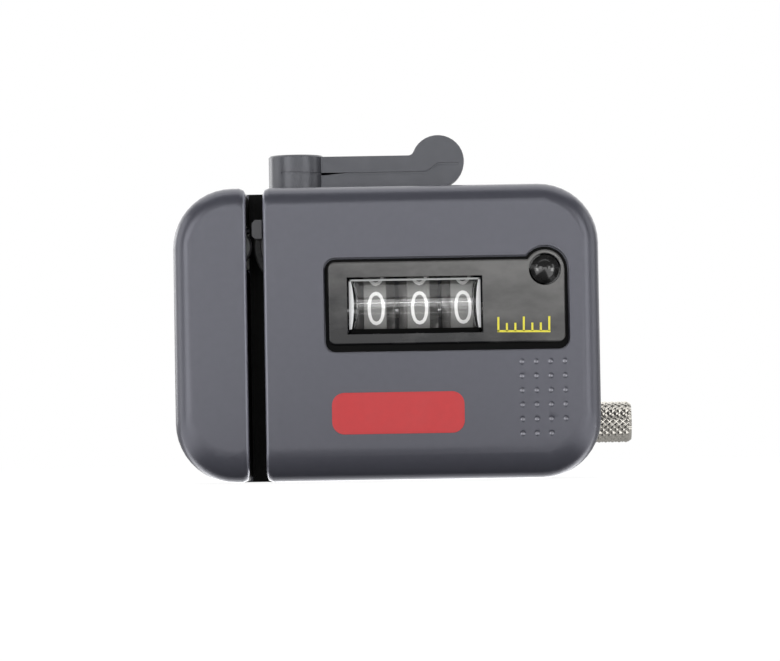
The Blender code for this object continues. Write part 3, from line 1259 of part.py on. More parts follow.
def clamp_jaw():
    """The moving jaw: it rides on the rail, and its blind bore takes the screw."""
    left = jaw_left()
    right = left + JAW_LENGTH
    low = CLAMP_FOOT + FLANGE_CORNER / 2
    high = CLAMP_FOOT + CLAMP_HEIGHT
    outline = [(u, v if v > PLATE_BACK else PLATE_BACK + FIT_GAP) for u, v in jaw_outline(left, right)]
    bm = bmesh.new()
    add_prism(bm, outline, "Z", low, high)
    jaw = finish_mesh("clamp_jaw", bm, case_plastic())
    combine(jaw, "rail_groove", lambda tool: add_prism(
        tool, rail_outline(FIT_GAP), "X", left - OVERRUN, right + OVERRUN))
    combine(jaw, "screw_bore", lambda tool: add_turned(
        tool, [(SCREW_RADIUS + RUN_GAP, left + PAD_THICKNESS), (SCREW_RADIUS + RUN_GAP, right + OVERRUN)],
        "X", (SCREW_Y, CLAMP_MID_Z), 16))
    set_origin(jaw, (left, SCREW_Y, CLAMP_MID_Z))
    return jaw


def jaw_pad(name, face, side):
    """A rubber pad on a jaw's face with grooves across it. side is +1 where the pad faces +X."""
    near = face + side * FIT_GAP
    far = near + side * PAD_THICKNESS
    low = RAIL_TOP + FIT_GAP * 2
    high = CLAMP_END - JAW_EDGE
    ribs = 4
    outline = [(near, high), (near, low)]
    step = (high - low) / ribs
    for i in range(ribs):
        start = low + i * step
        outline += [(far, start), (far, start + step * 0.6), (far - side * PAD_GROOVE, start + step * 0.7),
                    (far - side * PAD_GROOVE, start + step * 0.9)]
    outline.append((far, high))
    bm = bmesh.new()
    add_prism(bm, outline, "Z", CLAMP_FOOT + FLANGE_CORNER, CLAMP_FOOT + CLAMP_HEIGHT - FLANGE_CORNER / 2)
    return finish_mesh(name, bm, rubber())


def clamp_screw():
    """The clamp's screw. It turns in the lug, and its tip stays inside the jaw's bore."""
    start = jaw_left() + PAD_THICKNESS + JAW_OPENING + FIT_GAP
    tip = SCREW_RADIUS / 4
    bm = bmesh.new()
    shoulder = KNOB_START + OVERRUN
    neck = SCREW_RADIUS * 0.7
    add_turned(bm, [(SCREW_RADIUS - tip, start), (SCREW_RADIUS, start + tip), (SCREW_RADIUS, shoulder),
                    (neck, shoulder), (neck, KNOB_END - OVERRUN * 2)], "X", (SCREW_Y, CLAMP_MID_Z), 20)
    screw = finish_mesh("clamp_screw", bm, steel())
    set_origin(screw, (start, SCREW_Y, CLAMP_MID_Z))
    return screw


def screw_collar():
    """The ring that keeps the screw from moving out of the lug."""
    end = CLAMP_RIGHT - LUG_THICKNESS - FIT_GAP
    bore = SCREW_RADIUS + RUN_GAP
    outer = SCREW_RADIUS * 1.6
    bm = bmesh.new()
    add_turned(bm, [(bore, end - WALL / 2), (outer, end - WALL / 2), (outer, end), (bore, end)],
               "X", (SCREW_Y, CLAMP_MID_Z), 20, bored=True)
    return finish_mesh("screw_collar", bm, steel())


def thumb_knob():
    """The knurled knob's body: a turned barrel with chamfered rims and a neck to the lug."""
    chamfer = KNOB_RADIUS / 7
    bore = SCREW_RADIUS + RUN_GAP
    small_bore = SCREW_RADIUS * 0.7 + RUN_GAP
    neck = SCREW_RADIUS * 1.45
    step = KNOB_START + OVERRUN + RUN_GAP
    bm = bmesh.new()
    add_turned(bm, [(bore, CLAMP_RIGHT + FIT_GAP), (neck, CLAMP_RIGHT + FIT_GAP), (neck, KNOB_START),
                    (KNOB_RADIUS - chamfer, KNOB_START), (KNOB_RADIUS, KNOB_START + chamfer),
                    (KNOB_RADIUS, KNOB_END - chamfer), (KNOB_RADIUS - chamfer, KNOB_END),
                    (small_bore, KNOB_END), (small_bore, step), (bore, step)],
               "X", (SCREW_Y, CLAMP_MID_Z), 36, bored=True)
    knob = finish_mesh("thumb_knob", bm, nickel())
    set_origin(knob, (KNOB_START, SCREW_Y, CLAMP_MID_Z))
    return knob


def clear_scene():
    for obj in list(bpy.data.objects):
        bpy.data.objects.remove(obj)


def build():
    clear_scene()
    left_shell()
    right_shell()
    rear_cover()
    case_screws()
    bezel()
    lens()
    line_guide()
    counter_frame()
    shaft_bush()
    wheel_hub()
    wheel_tyre()
    wheel_shaft()
    worm()
    worm_gear()
    drum_axle()
    for index in range(DRUM_COUNT):
        number_drum(index)
    for index in range(DRUM_COUNT - 1):
        carry_pinion(index)
    pinion_axle()
    reset_button()
    reset_bar()
    button_spring()
    lever()
    lever_cam()
    roller_slide()
    roller_pin()
    pressure_roller()
    pressure_spring()
    clamp_screws()
    clamp_base()
    clamp_jaw()
    jaw_pad("fixed_pad", CLAMP_LEFT + JAW_THICKNESS, 1)
    jaw_pad("jaw_pad", jaw_left(), -1)
    clamp_screw()
    screw_collar()
    thumb_knob()


build()
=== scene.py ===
"""Looks of the fishing line counter: finishes, numbers, knurl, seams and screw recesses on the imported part.

Frame: +X to the right, +Y to the back, +Z up, in metres.
"""

import json
from math import atan2, cos, pi, radians, sin, sqrt

import bmesh
import bpy
from mathutils import Matrix, Vector
from mathutils.bvhtree import BVHTree


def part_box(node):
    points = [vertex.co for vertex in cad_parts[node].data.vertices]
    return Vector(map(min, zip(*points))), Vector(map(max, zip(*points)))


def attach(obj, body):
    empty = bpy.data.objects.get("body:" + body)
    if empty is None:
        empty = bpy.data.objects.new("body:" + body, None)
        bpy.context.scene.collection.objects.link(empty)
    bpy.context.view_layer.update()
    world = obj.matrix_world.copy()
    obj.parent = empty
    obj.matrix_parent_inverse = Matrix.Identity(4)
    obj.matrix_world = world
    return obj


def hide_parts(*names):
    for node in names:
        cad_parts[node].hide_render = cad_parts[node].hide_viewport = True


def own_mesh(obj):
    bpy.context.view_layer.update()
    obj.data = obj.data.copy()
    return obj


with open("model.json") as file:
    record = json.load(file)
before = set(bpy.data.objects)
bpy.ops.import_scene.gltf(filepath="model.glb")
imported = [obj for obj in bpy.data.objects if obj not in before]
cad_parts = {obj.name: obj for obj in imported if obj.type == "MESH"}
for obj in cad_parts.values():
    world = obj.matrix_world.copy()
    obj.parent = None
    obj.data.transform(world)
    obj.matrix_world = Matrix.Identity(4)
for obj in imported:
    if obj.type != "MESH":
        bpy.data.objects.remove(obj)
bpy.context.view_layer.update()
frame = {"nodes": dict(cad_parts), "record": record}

MM = 0.001

# Photograph and camera
PHOTO_WIDTH = 780
PHOTO_HEIGHT = 661
PIXELS_PER_MM = 5.62
CAMERA_DISTANCE = 800 * MM
CAMERA_HEIGHT = 3.45 * MM
CAMERA_NEAR = 10 * MM
CASE_CENTRE_X_PX = 387
CASE_CENTRE_Y_PX = 332.5
CASE_CENTRE_Z = 26.3 * MM
TILT = radians(0.95)

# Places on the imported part
case_low, case_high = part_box("right_shell")
panel_low, panel_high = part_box("bezel")
FRONT = case_low.y
CASE_RIGHT = case_high.x
SLOT_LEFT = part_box("left_shell")[1].x
SLOT_RIGHT = case_low.x
COVER_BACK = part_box("rear_cover")[1].y
BUTTON = tuple((low + high) / 2 for low, high in zip(*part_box("reset_button")))
MIDDLE = (0, 0, 0.03)

# Meshes: edges sharper than EDGE_ANGLE stay edges, and faces within FLAT_ANGLE are joined
EDGE_ANGLE = radians(35)
FLAT_ANGLE = radians(0.8)
MERGE_DISTANCE = 0.0005 * MM
BEVEL_STEPS = 2
SIDEWAYS = 0.3

# Finishes: most of a noise's values lie between NOISE_LOW and NOISE_HIGH
NOISE_LOW = 0.3
NOISE_HIGH = 0.7
GRAIN_SIZE = 0.16 * MM
GRAIN_HEIGHT = 0.006 * MM
TONE_SIZE = 1.4 * MM
TONE_SPREAD = 0.03
SMEAR_STRETCH = (3, 1, 1)
MARK_ACROSS = 0.08
MARK_ROUND = 3
CLEAR_IOR = 1.49
# The window's ends glow a little: painted light
WINDOW_END_PAINTED_GLOW = 0.35

# The case's plastic, with painted light: painted shade on the walls inside the line slot, a painted highlight
# along its rim, and painted highlight spots in the dimples
CASE_GREY = (0.066, 0.067, 0.084)
CASE_ROUGHNESS = 0.32
CASE_FLAKE = 0.3
CASE_GLOSS = 0.5
MASK_EDGE = 0.1 * MM
# Painted shade: between these depths the slot's walls are darkened and lose their gloss
SLOT_SHADE_COLOUR = (0.003, 0.003, 0.003)
SLOT_SHADE_GLOSS = 0.05
SLOT_SHADE_START = FRONT + 1.6 * MM
SLOT_SHADE_FULL = FRONT + 3.2 * MM
SLOT_SHADE_END = COVER_BACK - 0.9 * MM
# Painted highlight: a lighter colour along the slot's front edges, fading with depth
RIM_HIGHLIGHT_COLOUR = (0.30, 0.305, 0.36)
RIM_SHARE = 0.5
RIM_WIDTH = 0.5 * MM
RIM_BLUR = 0.2 * MM
RIM_FADE = FRONT + 2 * MM
RIM_END = FRONT + 4 * MM
# Painted highlights: light spots on the beds of the dimples in the grip
DIMPLE_HIGHLIGHT_COLOUR = (0.5, 0.5, 0.55)
DIMPLE_SHINE = 0.3
DIMPLES_LEFT = CASE_RIGHT - 15.6 * MM
DIMPLES_RIGHT = CASE_RIGHT - 5.2 * MM
DIMPLES_BOTTOM = panel_low.z - 15.9 * MM
DIMPLES_TOP = panel_low.z - 0.8 * MM
DIMPLE_WALL = FRONT + 0.30 * MM
DIMPLE_BED = FRONT + 0.345 * MM
BEHIND_DIMPLES = FRONT + 0.5 * MM

# Counter panel
PANEL_FACE_DEPTH = 0.45 * MM
PANEL_CLEAR = (0.006, 0.006, 0.007)
# Painted reflection: a lighter grey mixed into the panel's colour, stronger to the upper right and in soft
# clouds
PANEL_PAINTED_REFLECTION = (0.13, 0.128, 0.125)
REFLECTION_RIGHT = 0.4
REFLECTION_UP = 0.6
REFLECTION_CLOUDS = 0.35
REFLECTION_START = 0.15
REFLECTION_FULL = 0.85

# Yellow rule on the panel
PRINT_THICKNESS = 0.03 * MM
RULE_LEFT_PX = 497.5
RULE_RIGHT_PX = 550.5
RULE_BASE_PX = 331.5
RULE_STROKE = 0.36 * MM
RULE_TICKS = 7
RULE_TALL = 2.6 * MM
RULE_SHORT = 1.5 * MM

# Drums and their numbers
DRUMS = ("hundreds_drum", "tens_drum", "units_drum")
BAND_SHARE = 0.97
RING_SHARE = 0.995
NUMBER_HEIGHT = 5.9 * MM
NUMBER_WIDTH = 3.15 * MM
ONE_WIDTH_SHARE = 0.45
NUMBER_STROKE = 0.05 * MM
NUMBER_DROP = radians(-0.3)
NUMBER_SHIFT = 0.2 * MM
NUMBER_STEP = radians(36)
NUMBER_THINNING = 0.010
NUMBER_BANDS = 9
NINE_LOOP = 0.56
NINE_LOOP_MIDDLE = 0.5 - NINE_LOOP / 2
NINE_HOOK = -0.30
TEXT_MERGE = 1e-5

# Window: a painted highlight along its top edge and painted shade along its bottom edge
LENS_END = 1.2 * MM
LENS_SEAT = 0.25 * MM
LENS_FOOT = 0.01 * MM
LENS_TOP_HIGHLIGHT = 0.35 * MM
LENS_BOTTOM_SHADE = 0.6 * MM

# Parting line of the lever
LEVER_SEAM_PX = ((281, 173.3), (326, 173.8), (329, 173.8), (427, 171.9), (437.5, 163.0), (458.5, 162.8))
LEVER_SEAM_STEP_PX = 4
LEVER_SEAM_WIDTH = 0.42 * MM
LEVER_DEPTH = 14 * MM

# Knob: its bore fits the screw, whose radius is the collar's divided by COLLAR_TO_SCREW
COLLAR_TO_SCREW = 1.6
KNOB_GAP = 0.15 * MM
KNOB_NECK = 1.35
KNOB_SOCKET = 0.72
KNOB_SOCKET_START = 1.15 * MM
KNOB_CHAMFERS = 7
KNURL_STARTS = 20
KNURL_ROWS = 34
KNURL_DEPTH = 0.32 * MM
KNURL_STEPS = 7
KNURL_ANGLE = radians(12)
ON_BARREL = 0.01 * MM

# Cross recesses
RECESSED_SCREWS = ("case_screw_1", "case_screw_2", "case_screw_3", "case_screw_4",
                   "clamp_mount_screw_1", "clamp_mount_screw_2")
RECESS_LENGTH = 2.2 * MM
RECESS_WIDTH = 0.42 * MM
RECESS_DEPTH = 0.5 * MM

# Red plate
BADGE_CENTRE_PX = (397, 413)
BADGE_WIDTH = 23.6 * MM
BADGE_HEIGHT = 7.4 * MM
BADGE_THICKNESS = 0.12 * MM
BADGE_CORNER = BADGE_HEIGHT * 0.3
BADGE_CORNER_STEPS = 8
BADGE_EDGE_ANGLE = radians(50)

# Room and floor
ROOM_LEVEL = 0.12
FLOOR_SIZE = 4.0
FLOOR_GREY = 0.18
GLOW_SHARE = 0.93
GLOW_START = FRONT + 1.4 * MM
GLOW_FULL = FRONT + 3.2 * MM
UNDER_GLOW = 5.6
UNDER_GLOW_END = FRONT + 5 * MM
BACK_GLOW = 0.6
BACK_GLOW_START = FRONT + 8 * MM
SIDE_GLOW = 0.45
SIDE_GLOW_START = CASE_RIGHT - 1 * MM
SIDE_GLOW_FULL = CASE_RIGHT + 9 * MM
SHADOW_NEAR = 90 * MM
SHADOW_FAR = 260 * MM
WHITE_SHARE_NEAR = 0.75
WHITE_NEAR = 1.30
WHITE_FAR = 1.08

# Cards: name, place, size and level
CARDS = (
    ("back_card", (0.0, 0.9, 0.55), (3.0, 1.1), 1.7),
    ("top_card", (0.0, 0.15, 0.70), (1.0, 0.5), 2.0),
    ("left_card", (-0.85, 0.0, 0.20), (0.5, 0.8), 2.7),
    ("right_card", (0.85, 0.0, 0.20), (0.5, 0.8), 1.8),
    ("left_strip", (-0.62, -0.85, 0.20), (0.62, 0.6), 4.3),
    ("right_strip", (0.68, -0.80, 0.20), (0.5, 0.6), 3.8),
    ("low_card", (0.0, -0.125, 0.002), (0.30, 0.006), 1.0),
    ("front_card", (0.05, -1.1, 0.16), (0.7, 0.28), 2.55),
    ("front_streak", (0.05, -1.08, 0.16), (0.7, 0.035), 5.0),
    ("left_back_card", (-0.95, 0.8, 0.2), (0.5, 0.5), 3.6),
)
FILL_CARD = ("front_fill", (0.0, -1.3, 0.75), (1.0, 0.6), 2.0)
BUTTON_CARDS = (
    ("left_glint", (-0.107, -0.065, 0.026), (0.06, 0.05), 6.0),
    ("right_glint", (0.163, -0.065, 0.026), (0.06, 0.05), 6.0),
)


class Finish:
    """A Principled material with procedural detail in object coordinates."""

    def __init__(self, name, colour, roughness, metallic=0.0):
        self.material = bpy.data.materials.new(name)
        self.material.use_nodes = True
        self.nodes = self.material.node_tree.nodes
        self.links = self.material.node_tree.links
        self.shader = self.nodes["Principled BSDF"]
        self.colour = colour
        self.roughness = roughness
        self.shader.inputs["Base Color"].default_value = (*colour, 1.0)
        self.shader.inputs["Roughness"].default_value = roughness
        self.shader.inputs["Metallic"].default_value = metallic
        self.position = self.nodes.new("ShaderNodeTexCoord").outputs["Object"]

    def noise(self, size, detail, stretch=(1, 1, 1), roughness=0.5):
        """Noise with features of about this size in metres, drawn out by the stretch."""
        mapping = self.nodes.new("ShaderNodeMapping")
        mapping.inputs["Scale"].default_value = [1 / s for s in stretch]
        self.links.new(self.position, mapping.inputs["Vector"])
        texture = self.nodes.new("ShaderNodeTexNoise")
        texture.inputs["Scale"].default_value = 1 / size
        texture.inputs["Detail"].default_value = detail
        texture.inputs["Roughness"].default_value = roughness
        self.links.new(mapping.outputs["Vector"], texture.inputs["Vector"])
        return texture.outputs["Fac"]

    def axes(self, vector):
        """A vector's X, Y and Z, by name."""
        node = self.nodes.new("ShaderNodeSeparateXYZ")
        self.links.new(vector, node.inputs["Vector"])
        return node.outputs

    def ramp(self, value, low, high, start, end):
        """Maps the value's span low to high onto start to end."""
        node = self.nodes.new("ShaderNodeMapRange")
        node.inputs["From Min"].default_value = low
        node.inputs["From Max"].default_value = high
        node.inputs["To Min"].default_value = start
        node.inputs["To Max"].default_value = end
        self.links.new(value, node.inputs["Value"])
        return node.outputs["Result"]

    def maths(self, operation, first, second=None):
        """One step of arithmetic on an output; the second term is a number or another output."""
        node = self.nodes.new("ShaderNodeMath")
        node.operation = operation
        self.links.new(first, node.inputs[0])
        if isinstance(second, bpy.types.NodeSocket):
            self.links.new(second, node.inputs[1])
        elif second is not None:
            node.inputs[1].default_value = second
        return node.outputs[0]

    def product(self, values):
        """The values multiplied together."""
        total = values[0]
        for value in values[1:]:
            total = self.maths("MULTIPLY", total, value)
        return total

    def mix(self, share, first, second):
        """Mixes two tones by this share; each is a colour or another node's output."""
        node = self.nodes.new("ShaderNodeMix")
        node.data_type = "RGBA"
        self.links.new(share, node.inputs[0])
        for tone, entry in ((first, node.inputs[6]), (second, node.inputs[7])):
            if isinstance(tone, bpy.types.NodeSocket):
                self.links.new(tone, entry)
            else:
                entry.default_value = (*tone, 1.0)
        return node.outputs[2]

    def toned(self, value, spread):
        """The base colour, a little darker or lighter with the value."""
        dark = [c * (1 - spread) for c in self.colour]
        light = [min(c * (1 + spread), 1) for c in self.colour]
        return self.mix(self.ramp(value, NOISE_LOW, NOISE_HIGH, 0, 1), dark, light)

    def vary_colour(self, value, spread):
        self.links.new(self.toned(value, spread), self.shader.inputs["Base Color"])

    def vary_roughness(self, value, spread):
        low = max(self.roughness - spread, 0.02)
        varied = self.ramp(value, NOISE_LOW, NOISE_HIGH, low, self.roughness + spread)
        self.links.new(varied, self.shader.inputs["Roughness"])

    def bump(self, value, height):
        node = self.nodes.new("ShaderNodeBump")
        node.inputs["Strength"].default_value = 1.0
        node.inputs["Distance"].default_value = height
        self.links.new(value, node.inputs["Height"])
        self.links.new(node.outputs["Normal"], self.shader.inputs["Normal"])

    def blend_shader(self, share, other):
        """Shows this share of another shader in place of the Principled one."""
        mixed = self.nodes.new("ShaderNodeMixShader")
        self.links.new(share, mixed.inputs["Fac"])
        self.links.new(self.shader.outputs["BSDF"], mixed.inputs[1])
        self.links.new(other, mixed.inputs[2])
        self.links.new(mixed.outputs["Shader"], self.nodes["Material Output"].inputs["Surface"])


def moulded_plastic(name, colour, roughness, flake=0.0):
    """Satin moulded plastic: fine spark grain, slow changes of tone and gloss, and a share of metal flake."""
    finish = Finish(name, colour, roughness, flake)
    finish.vary_colour(finish.noise(TONE_SIZE, 5), TONE_SPREAD)
    finish.vary_roughness(finish.noise(2.5 * MM, 5), 0.035)
    finish.bump(finish.noise(GRAIN_SIZE, 2, roughness=0.7), GRAIN_HEIGHT)
    return finish.material


def polish(finish):
    """Gives a finish faint waviness and a few fine smears."""
    finish.vary_roughness(finish.noise(5 * MM, 6, stretch=SMEAR_STRETCH), 0.035)
    finish.bump(finish.noise(6 * MM, 2), 0.004 * MM)


def gloss_plastic(name, colour, roughness):
    """Polished plastic with slow changes of tone."""
    finish = Finish(name, colour, roughness)
    polish(finish)
    finish.vary_colour(finish.noise(4 * MM, 4), 0.2)
    return finish.material


def turned_metal(name, colour, roughness, axis="X"):
    """Metal with fine tool marks round its axis."""
    finish = Finish(name, colour, roughness, 1.0)
    stretch = [MARK_ACROSS if letter == axis else MARK_ROUND for letter in "XYZ"]
    marks = finish.noise(0.8 * MM, 4, stretch=stretch)
    finish.vary_roughness(marks, 0.08)
    finish.vary_colour(finish.noise(2 * MM, 4), 0.08)
    finish.bump(marks, 0.003 * MM)
    return finish.material


def soft_rubber(name, colour):
    """Dull rubber with a fine skin."""
    finish = Finish(name, colour, 0.75)
    finish.vary_colour(finish.noise(1.2 * MM, 5), 0.2)
    finish.vary_roughness(finish.noise(0.6 * MM, 3), 0.1)
    finish.bump(finish.noise(0.1 * MM, 2), 0.01 * MM)
    return finish.material


def clear_window():
    """Clear plastic that lets light through to the drums, with its gloss in front."""
    finish = Finish("clear_window", (1.0, 1.0, 1.0), 0.03)
    finish.shader.inputs["Transmission Weight"].default_value = 1.0
    finish.shader.inputs["IOR"].default_value = CLEAR_IOR
    finish.vary_roughness(finish.noise(4 * MM, 5), 0.02)
    path = finish.nodes.new("ShaderNodeLightPath")
    clear = finish.nodes.new("ShaderNodeBsdfTransparent")
    finish.blend_shader(path.outputs["Is Shadow Ray"], clear.outputs["BSDF"])
    return finish.material


def case_plastic():
    """The case's plastic, with painted shade on the slot walls, a painted highlight along the slot rim and
    painted highlight spots in the dimples.
    """
    finish = Finish("case_grey", CASE_GREY, CASE_ROUGHNESS, CASE_FLAKE)
    tone = finish.toned(finish.noise(TONE_SIZE, 5), TONE_SPREAD)
    finish.vary_roughness(finish.noise(0.9 * MM, 4), 0.02)
    finish.bump(finish.noise(GRAIN_SIZE, 2, roughness=0.7), GRAIN_HEIGHT)
    place = finish.axes(finish.position)
    facing = finish.axes(finish.nodes.new("ShaderNodeNewGeometry").outputs["Normal"])
    # Painted shade: a dark colour and little gloss on the slot's walls
    slot_shade = finish.product([
        finish.ramp(place["X"], SLOT_LEFT - MASK_EDGE, SLOT_LEFT, 0, 1),
        finish.ramp(place["X"], SLOT_RIGHT + MASK_EDGE, SLOT_RIGHT, 0, 1),
        finish.ramp(place["Y"], SLOT_SHADE_START, SLOT_SHADE_FULL, 0, 1),
        finish.ramp(place["Y"], SLOT_SHADE_END, SLOT_SHADE_END - MASK_EDGE, 0, 1),
        finish.ramp(facing["Z"], 0.6, 0.4, 0, 1)])
    # Painted highlight: a light band along the slot's rim
    from_slot = finish.maths("ABSOLUTE", finish.maths("SUBTRACT", place["X"], (SLOT_LEFT + SLOT_RIGHT) / 2))
    reach = (SLOT_RIGHT - SLOT_LEFT) / 2 + RIM_WIDTH
    rim = finish.product([
        finish.ramp(from_slot, reach - RIM_BLUR, reach, RIM_SHARE, 0),
        finish.ramp(place["Y"], RIM_FADE, RIM_END, 1, 0)])
    # Painted highlights: light spots on the beds of the dimples
    dimple_highlight = finish.product([
        finish.ramp(place["X"], DIMPLES_LEFT, DIMPLES_LEFT + MASK_EDGE, 0, 1),
        finish.ramp(place["X"], DIMPLES_RIGHT - MASK_EDGE, DIMPLES_RIGHT, 1, 0),
        finish.ramp(place["Z"], DIMPLES_BOTTOM, DIMPLES_BOTTOM + MASK_EDGE, 0, 1),
        finish.ramp(place["Z"], DIMPLES_TOP - MASK_EDGE, DIMPLES_TOP, 1, 0),
        finish.ramp(place["Y"], DIMPLE_WALL, DIMPLE_BED, 0, DIMPLE_SHINE),
        finish.ramp(place["Y"], BEHIND_DIMPLES, BEHIND_DIMPLES + MASK_EDGE, 1, 0)])
    for share, colour in ((rim, RIM_HIGHLIGHT_COLOUR), (dimple_highlight, DIMPLE_HIGHLIGHT_COLOUR), (slot_shade, SLOT_SHADE_COLOUR)):
        tone = finish.mix(share, tone, colour)
    finish.links.new(tone, finish.shader.inputs["Base Color"])
    gloss = finish.ramp(slot_shade, 0, 1, CASE_GLOSS, SLOT_SHADE_GLOSS)
    finish.links.new(gloss, finish.shader.inputs["Specular IOR Level"])
    return finish.material


def panel_plastic():
    """The polished panel, with a painted reflection: a lighter grey cloud in its colour that is stronger to the
    upper right.
    """
    finish = Finish("panel_black", (0.01, 0.01, 0.01), 0.12)
    finish.shader.inputs["Specular IOR Level"].default_value = 0.3
    polish(finish)
    place = finish.axes(finish.position)
    across = finish.ramp(place["X"], panel_low.x, panel_high.x, 0.0, REFLECTION_RIGHT)
    upward = finish.ramp(place["Z"], panel_low.z, panel_high.z, 0.0, REFLECTION_UP)
    cloud_noise = finish.noise(7 * MM, 5, stretch=(2, 1, 1), roughness=0.55)
    clouds = finish.ramp(cloud_noise, 0.25, 0.75, -REFLECTION_CLOUDS, REFLECTION_CLOUDS)
    total = finish.maths("ADD", finish.maths("ADD", across, upward), clouds)
    # Painted reflection in the base colour
    painted_reflection = finish.mix(finish.ramp(total, REFLECTION_START, REFLECTION_FULL, 0, 1), PANEL_CLEAR, PANEL_PAINTED_REFLECTION)
    finish.links.new(painted_reflection, finish.shader.inputs["Base Color"])
    return finish.material


def frosted_end():
    """The window's cut end: white and glowing a little from outside, as painted light, and dark where it is
    seen through the window, as painted shade.
    """
    finish = Finish("window_end", (0.85, 0.86, 0.86), 0.35)
    finish.vary_roughness(finish.noise(0.5 * MM, 4), 0.1)
    finish.bump(finish.noise(0.1 * MM, 3), 0.006 * MM)
    geometry = finish.nodes.new("ShaderNodeNewGeometry")
    tone = finish.mix(geometry.outputs["Backfacing"], finish.colour, (0.02, 0.02, 0.02))
    finish.links.new(tone, finish.shader.inputs["Base Color"])
    finish.links.new(tone, finish.shader.inputs["Emission Color"])
    finish.shader.inputs["Emission Strength"].default_value = WINDOW_END_PAINTED_GLOW
    return finish.material


case_grey = case_plastic()
panel_black = panel_plastic()
lever_grey = moulded_plastic("lever_grey", (0.052, 0.054, 0.063), 0.34, flake=CASE_FLAKE)
# Black with almost no gloss: painted shade, on the step round the panel and on the window's bottom edge
step_black_shade = moulded_plastic("step_black_shade", (0.004, 0.004, 0.004), 0.55)
step_black_shade.node_tree.nodes["Principled BSDF"].inputs["Specular IOR Level"].default_value = 0.04
inner_grey = moulded_plastic("inner_grey", (0.022, 0.022, 0.025), 0.5)
drum_dark = moulded_plastic("drum_dark", (0.095, 0.092, 0.09), 0.22)
drum_band = moulded_plastic("drum_band", (0.13, 0.13, 0.125), 0.4)
number_white = moulded_plastic("number_white", (0.65, 0.65, 0.64), 0.5)
mark_yellow = moulded_plastic("mark_yellow", (0.78, 0.70, 0.05), 0.5)
acetal_white = moulded_plastic("acetal_white", (0.72, 0.71, 0.66), 0.42)
acetal_black = moulded_plastic("acetal_black", (0.008, 0.008, 0.009), 0.45)
tyre_black = soft_rubber("tyre_black", (0.008, 0.008, 0.008))
pad_black = soft_rubber("pad_black", (0.022, 0.022, 0.022))
steel_turned = turned_metal("steel_turned", (0.60, 0.60, 0.61), 0.28)
steel_sheet = turned_metal("steel_sheet", (0.58, 0.58, 0.58), 0.38, "Y")
nickel_plate = turned_metal("nickel_plate", (0.50, 0.48, 0.44), 0.26)
brass_turned = turned_metal("brass_turned", (0.70, 0.52, 0.22), 0.28, "Y")
button_black = gloss_plastic("button_black", (0.012, 0.012, 0.012), 0.16)
roller_dark = moulded_plastic("roller_dark", (0.03, 0.03, 0.032), 0.4)
badge_red = moulded_plastic("badge_red", (0.50, 0.012, 0.016), 0.38)
window_top_highlight = moulded_plastic("window_top_highlight", (0.45, 0.46, 0.46), 0.3)
window_end = frosted_end()
window_clear = clear_window()


def remove_scene_extras():
    """Takes out the startup cube, lamp and camera."""
    for name in ("Cube", "Light", "Camera"):
        extra = bpy.data.objects.get(name)
        if extra:
            bpy.data.objects.remove(extra)


def add_camera():
    """The camera stands in front, low, and looks a little up; it is tilted as the photograph is."""
    focal_px = PIXELS_PER_MM * CAMERA_DISTANCE / MM
    rise = atan2(CASE_CENTRE_Z - CAMERA_HEIGHT, CAMERA_DISTANCE)
    pitch = rise + atan2(CASE_CENTRE_Y_PX - PHOTO_HEIGHT / 2, focal_px)
    side = (PHOTO_WIDTH / 2 - CASE_CENTRE_X_PX) / PIXELS_PER_MM * MM
    data = bpy.data.cameras.new("camera")
    data.sensor_fit = "HORIZONTAL"
    data.lens = data.sensor_width * focal_px / PHOTO_WIDTH
    data.clip_start = CAMERA_NEAR
    camera = bpy.data.objects.new("camera", data)
    turn = Matrix.Rotation(radians(90) + pitch, 4, "X") @ Matrix.Rotation(-TILT, 4, "Z")
    camera.matrix_world = Matrix.Translation((side, FRONT - CAMERA_DISTANCE, CAMERA_HEIGHT)) @ turn
    bpy.context.scene.collection.objects.link(camera)
    bpy.context.scene.camera = camera


def photo_point(pixel_x, pixel_y, depth=0.0):
    """Where a pixel lies on the upright plane this deep behind the case's front, as x and z."""
    right = pixel_x - CASE_CENTRE_X_PX
    down = pixel_y - CASE_CENTRE_Y_PX
    x = (right - down * TILT) / PIXELS_PER_MM * MM
    z = CASE_CENTRE_Z - (down + right * TILT) / PIXELS_PER_MM * MM
    spread = (CAMERA_DISTANCE + depth) / CAMERA_DISTANCE
    return x * spread, CAMERA_HEIGHT + (z - CAMERA_HEIGHT) * spread


def front_surface(node, places):
    """The y of a CAD node's front surface at each of the places, given as x and z."""
    bm = bmesh.new()
    bm.from_mesh(frame["nodes"][node].data)
    tree = BVHTree.FromBMesh(bm)
    depths = []
    for x, z in places:
        point = tree.ray_cast(Vector((x, FRONT - CAMERA_DISTANCE, z)), Vector((0, 1, 0)))[0]
        depths.append(point.y if point else depths[-1])
    bm.free()
    return depths


def body_of(node):
    return next(name for name, nodes in frame["record"]["behaviour"]["bodies"].items() if node in nodes)


def mesh_object(name, bm):
    """Makes a bmesh an object of the scene."""
    mesh = bpy.data.meshes.new(name)
    bm.to_mesh(mesh)
    bm.free()
    made = bpy.data.objects.new(name, mesh)
    bpy.context.scene.collection.objects.link(made)
    return made


def new_piece(name, bm, material, body, smooth=EDGE_ANGLE):
    """Makes a bmesh the object's piece, shaded smooth except at its edges."""
    piece = mesh_object(name, bm)
    piece.data.materials.append(material)
    piece.data.shade_smooth()
    piece.data.set_sharp_from_angle(angle=smooth)
    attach(piece, body)
    return piece


def merged_copy(node):
    """A bmesh of a CAD node with its loose triangles joined into faces."""
    bm = bmesh.new()
    bm.from_mesh(frame["nodes"][node].data)
    bmesh.ops.remove_doubles(bm, verts=bm.verts, dist=MERGE_DISTANCE)
    bmesh.ops.dissolve_limit(bm, angle_limit=FLAT_ANGLE, verts=bm.verts, edges=bm.edges)
    for face in bm.faces:
        face.material_index = 0
    return bm


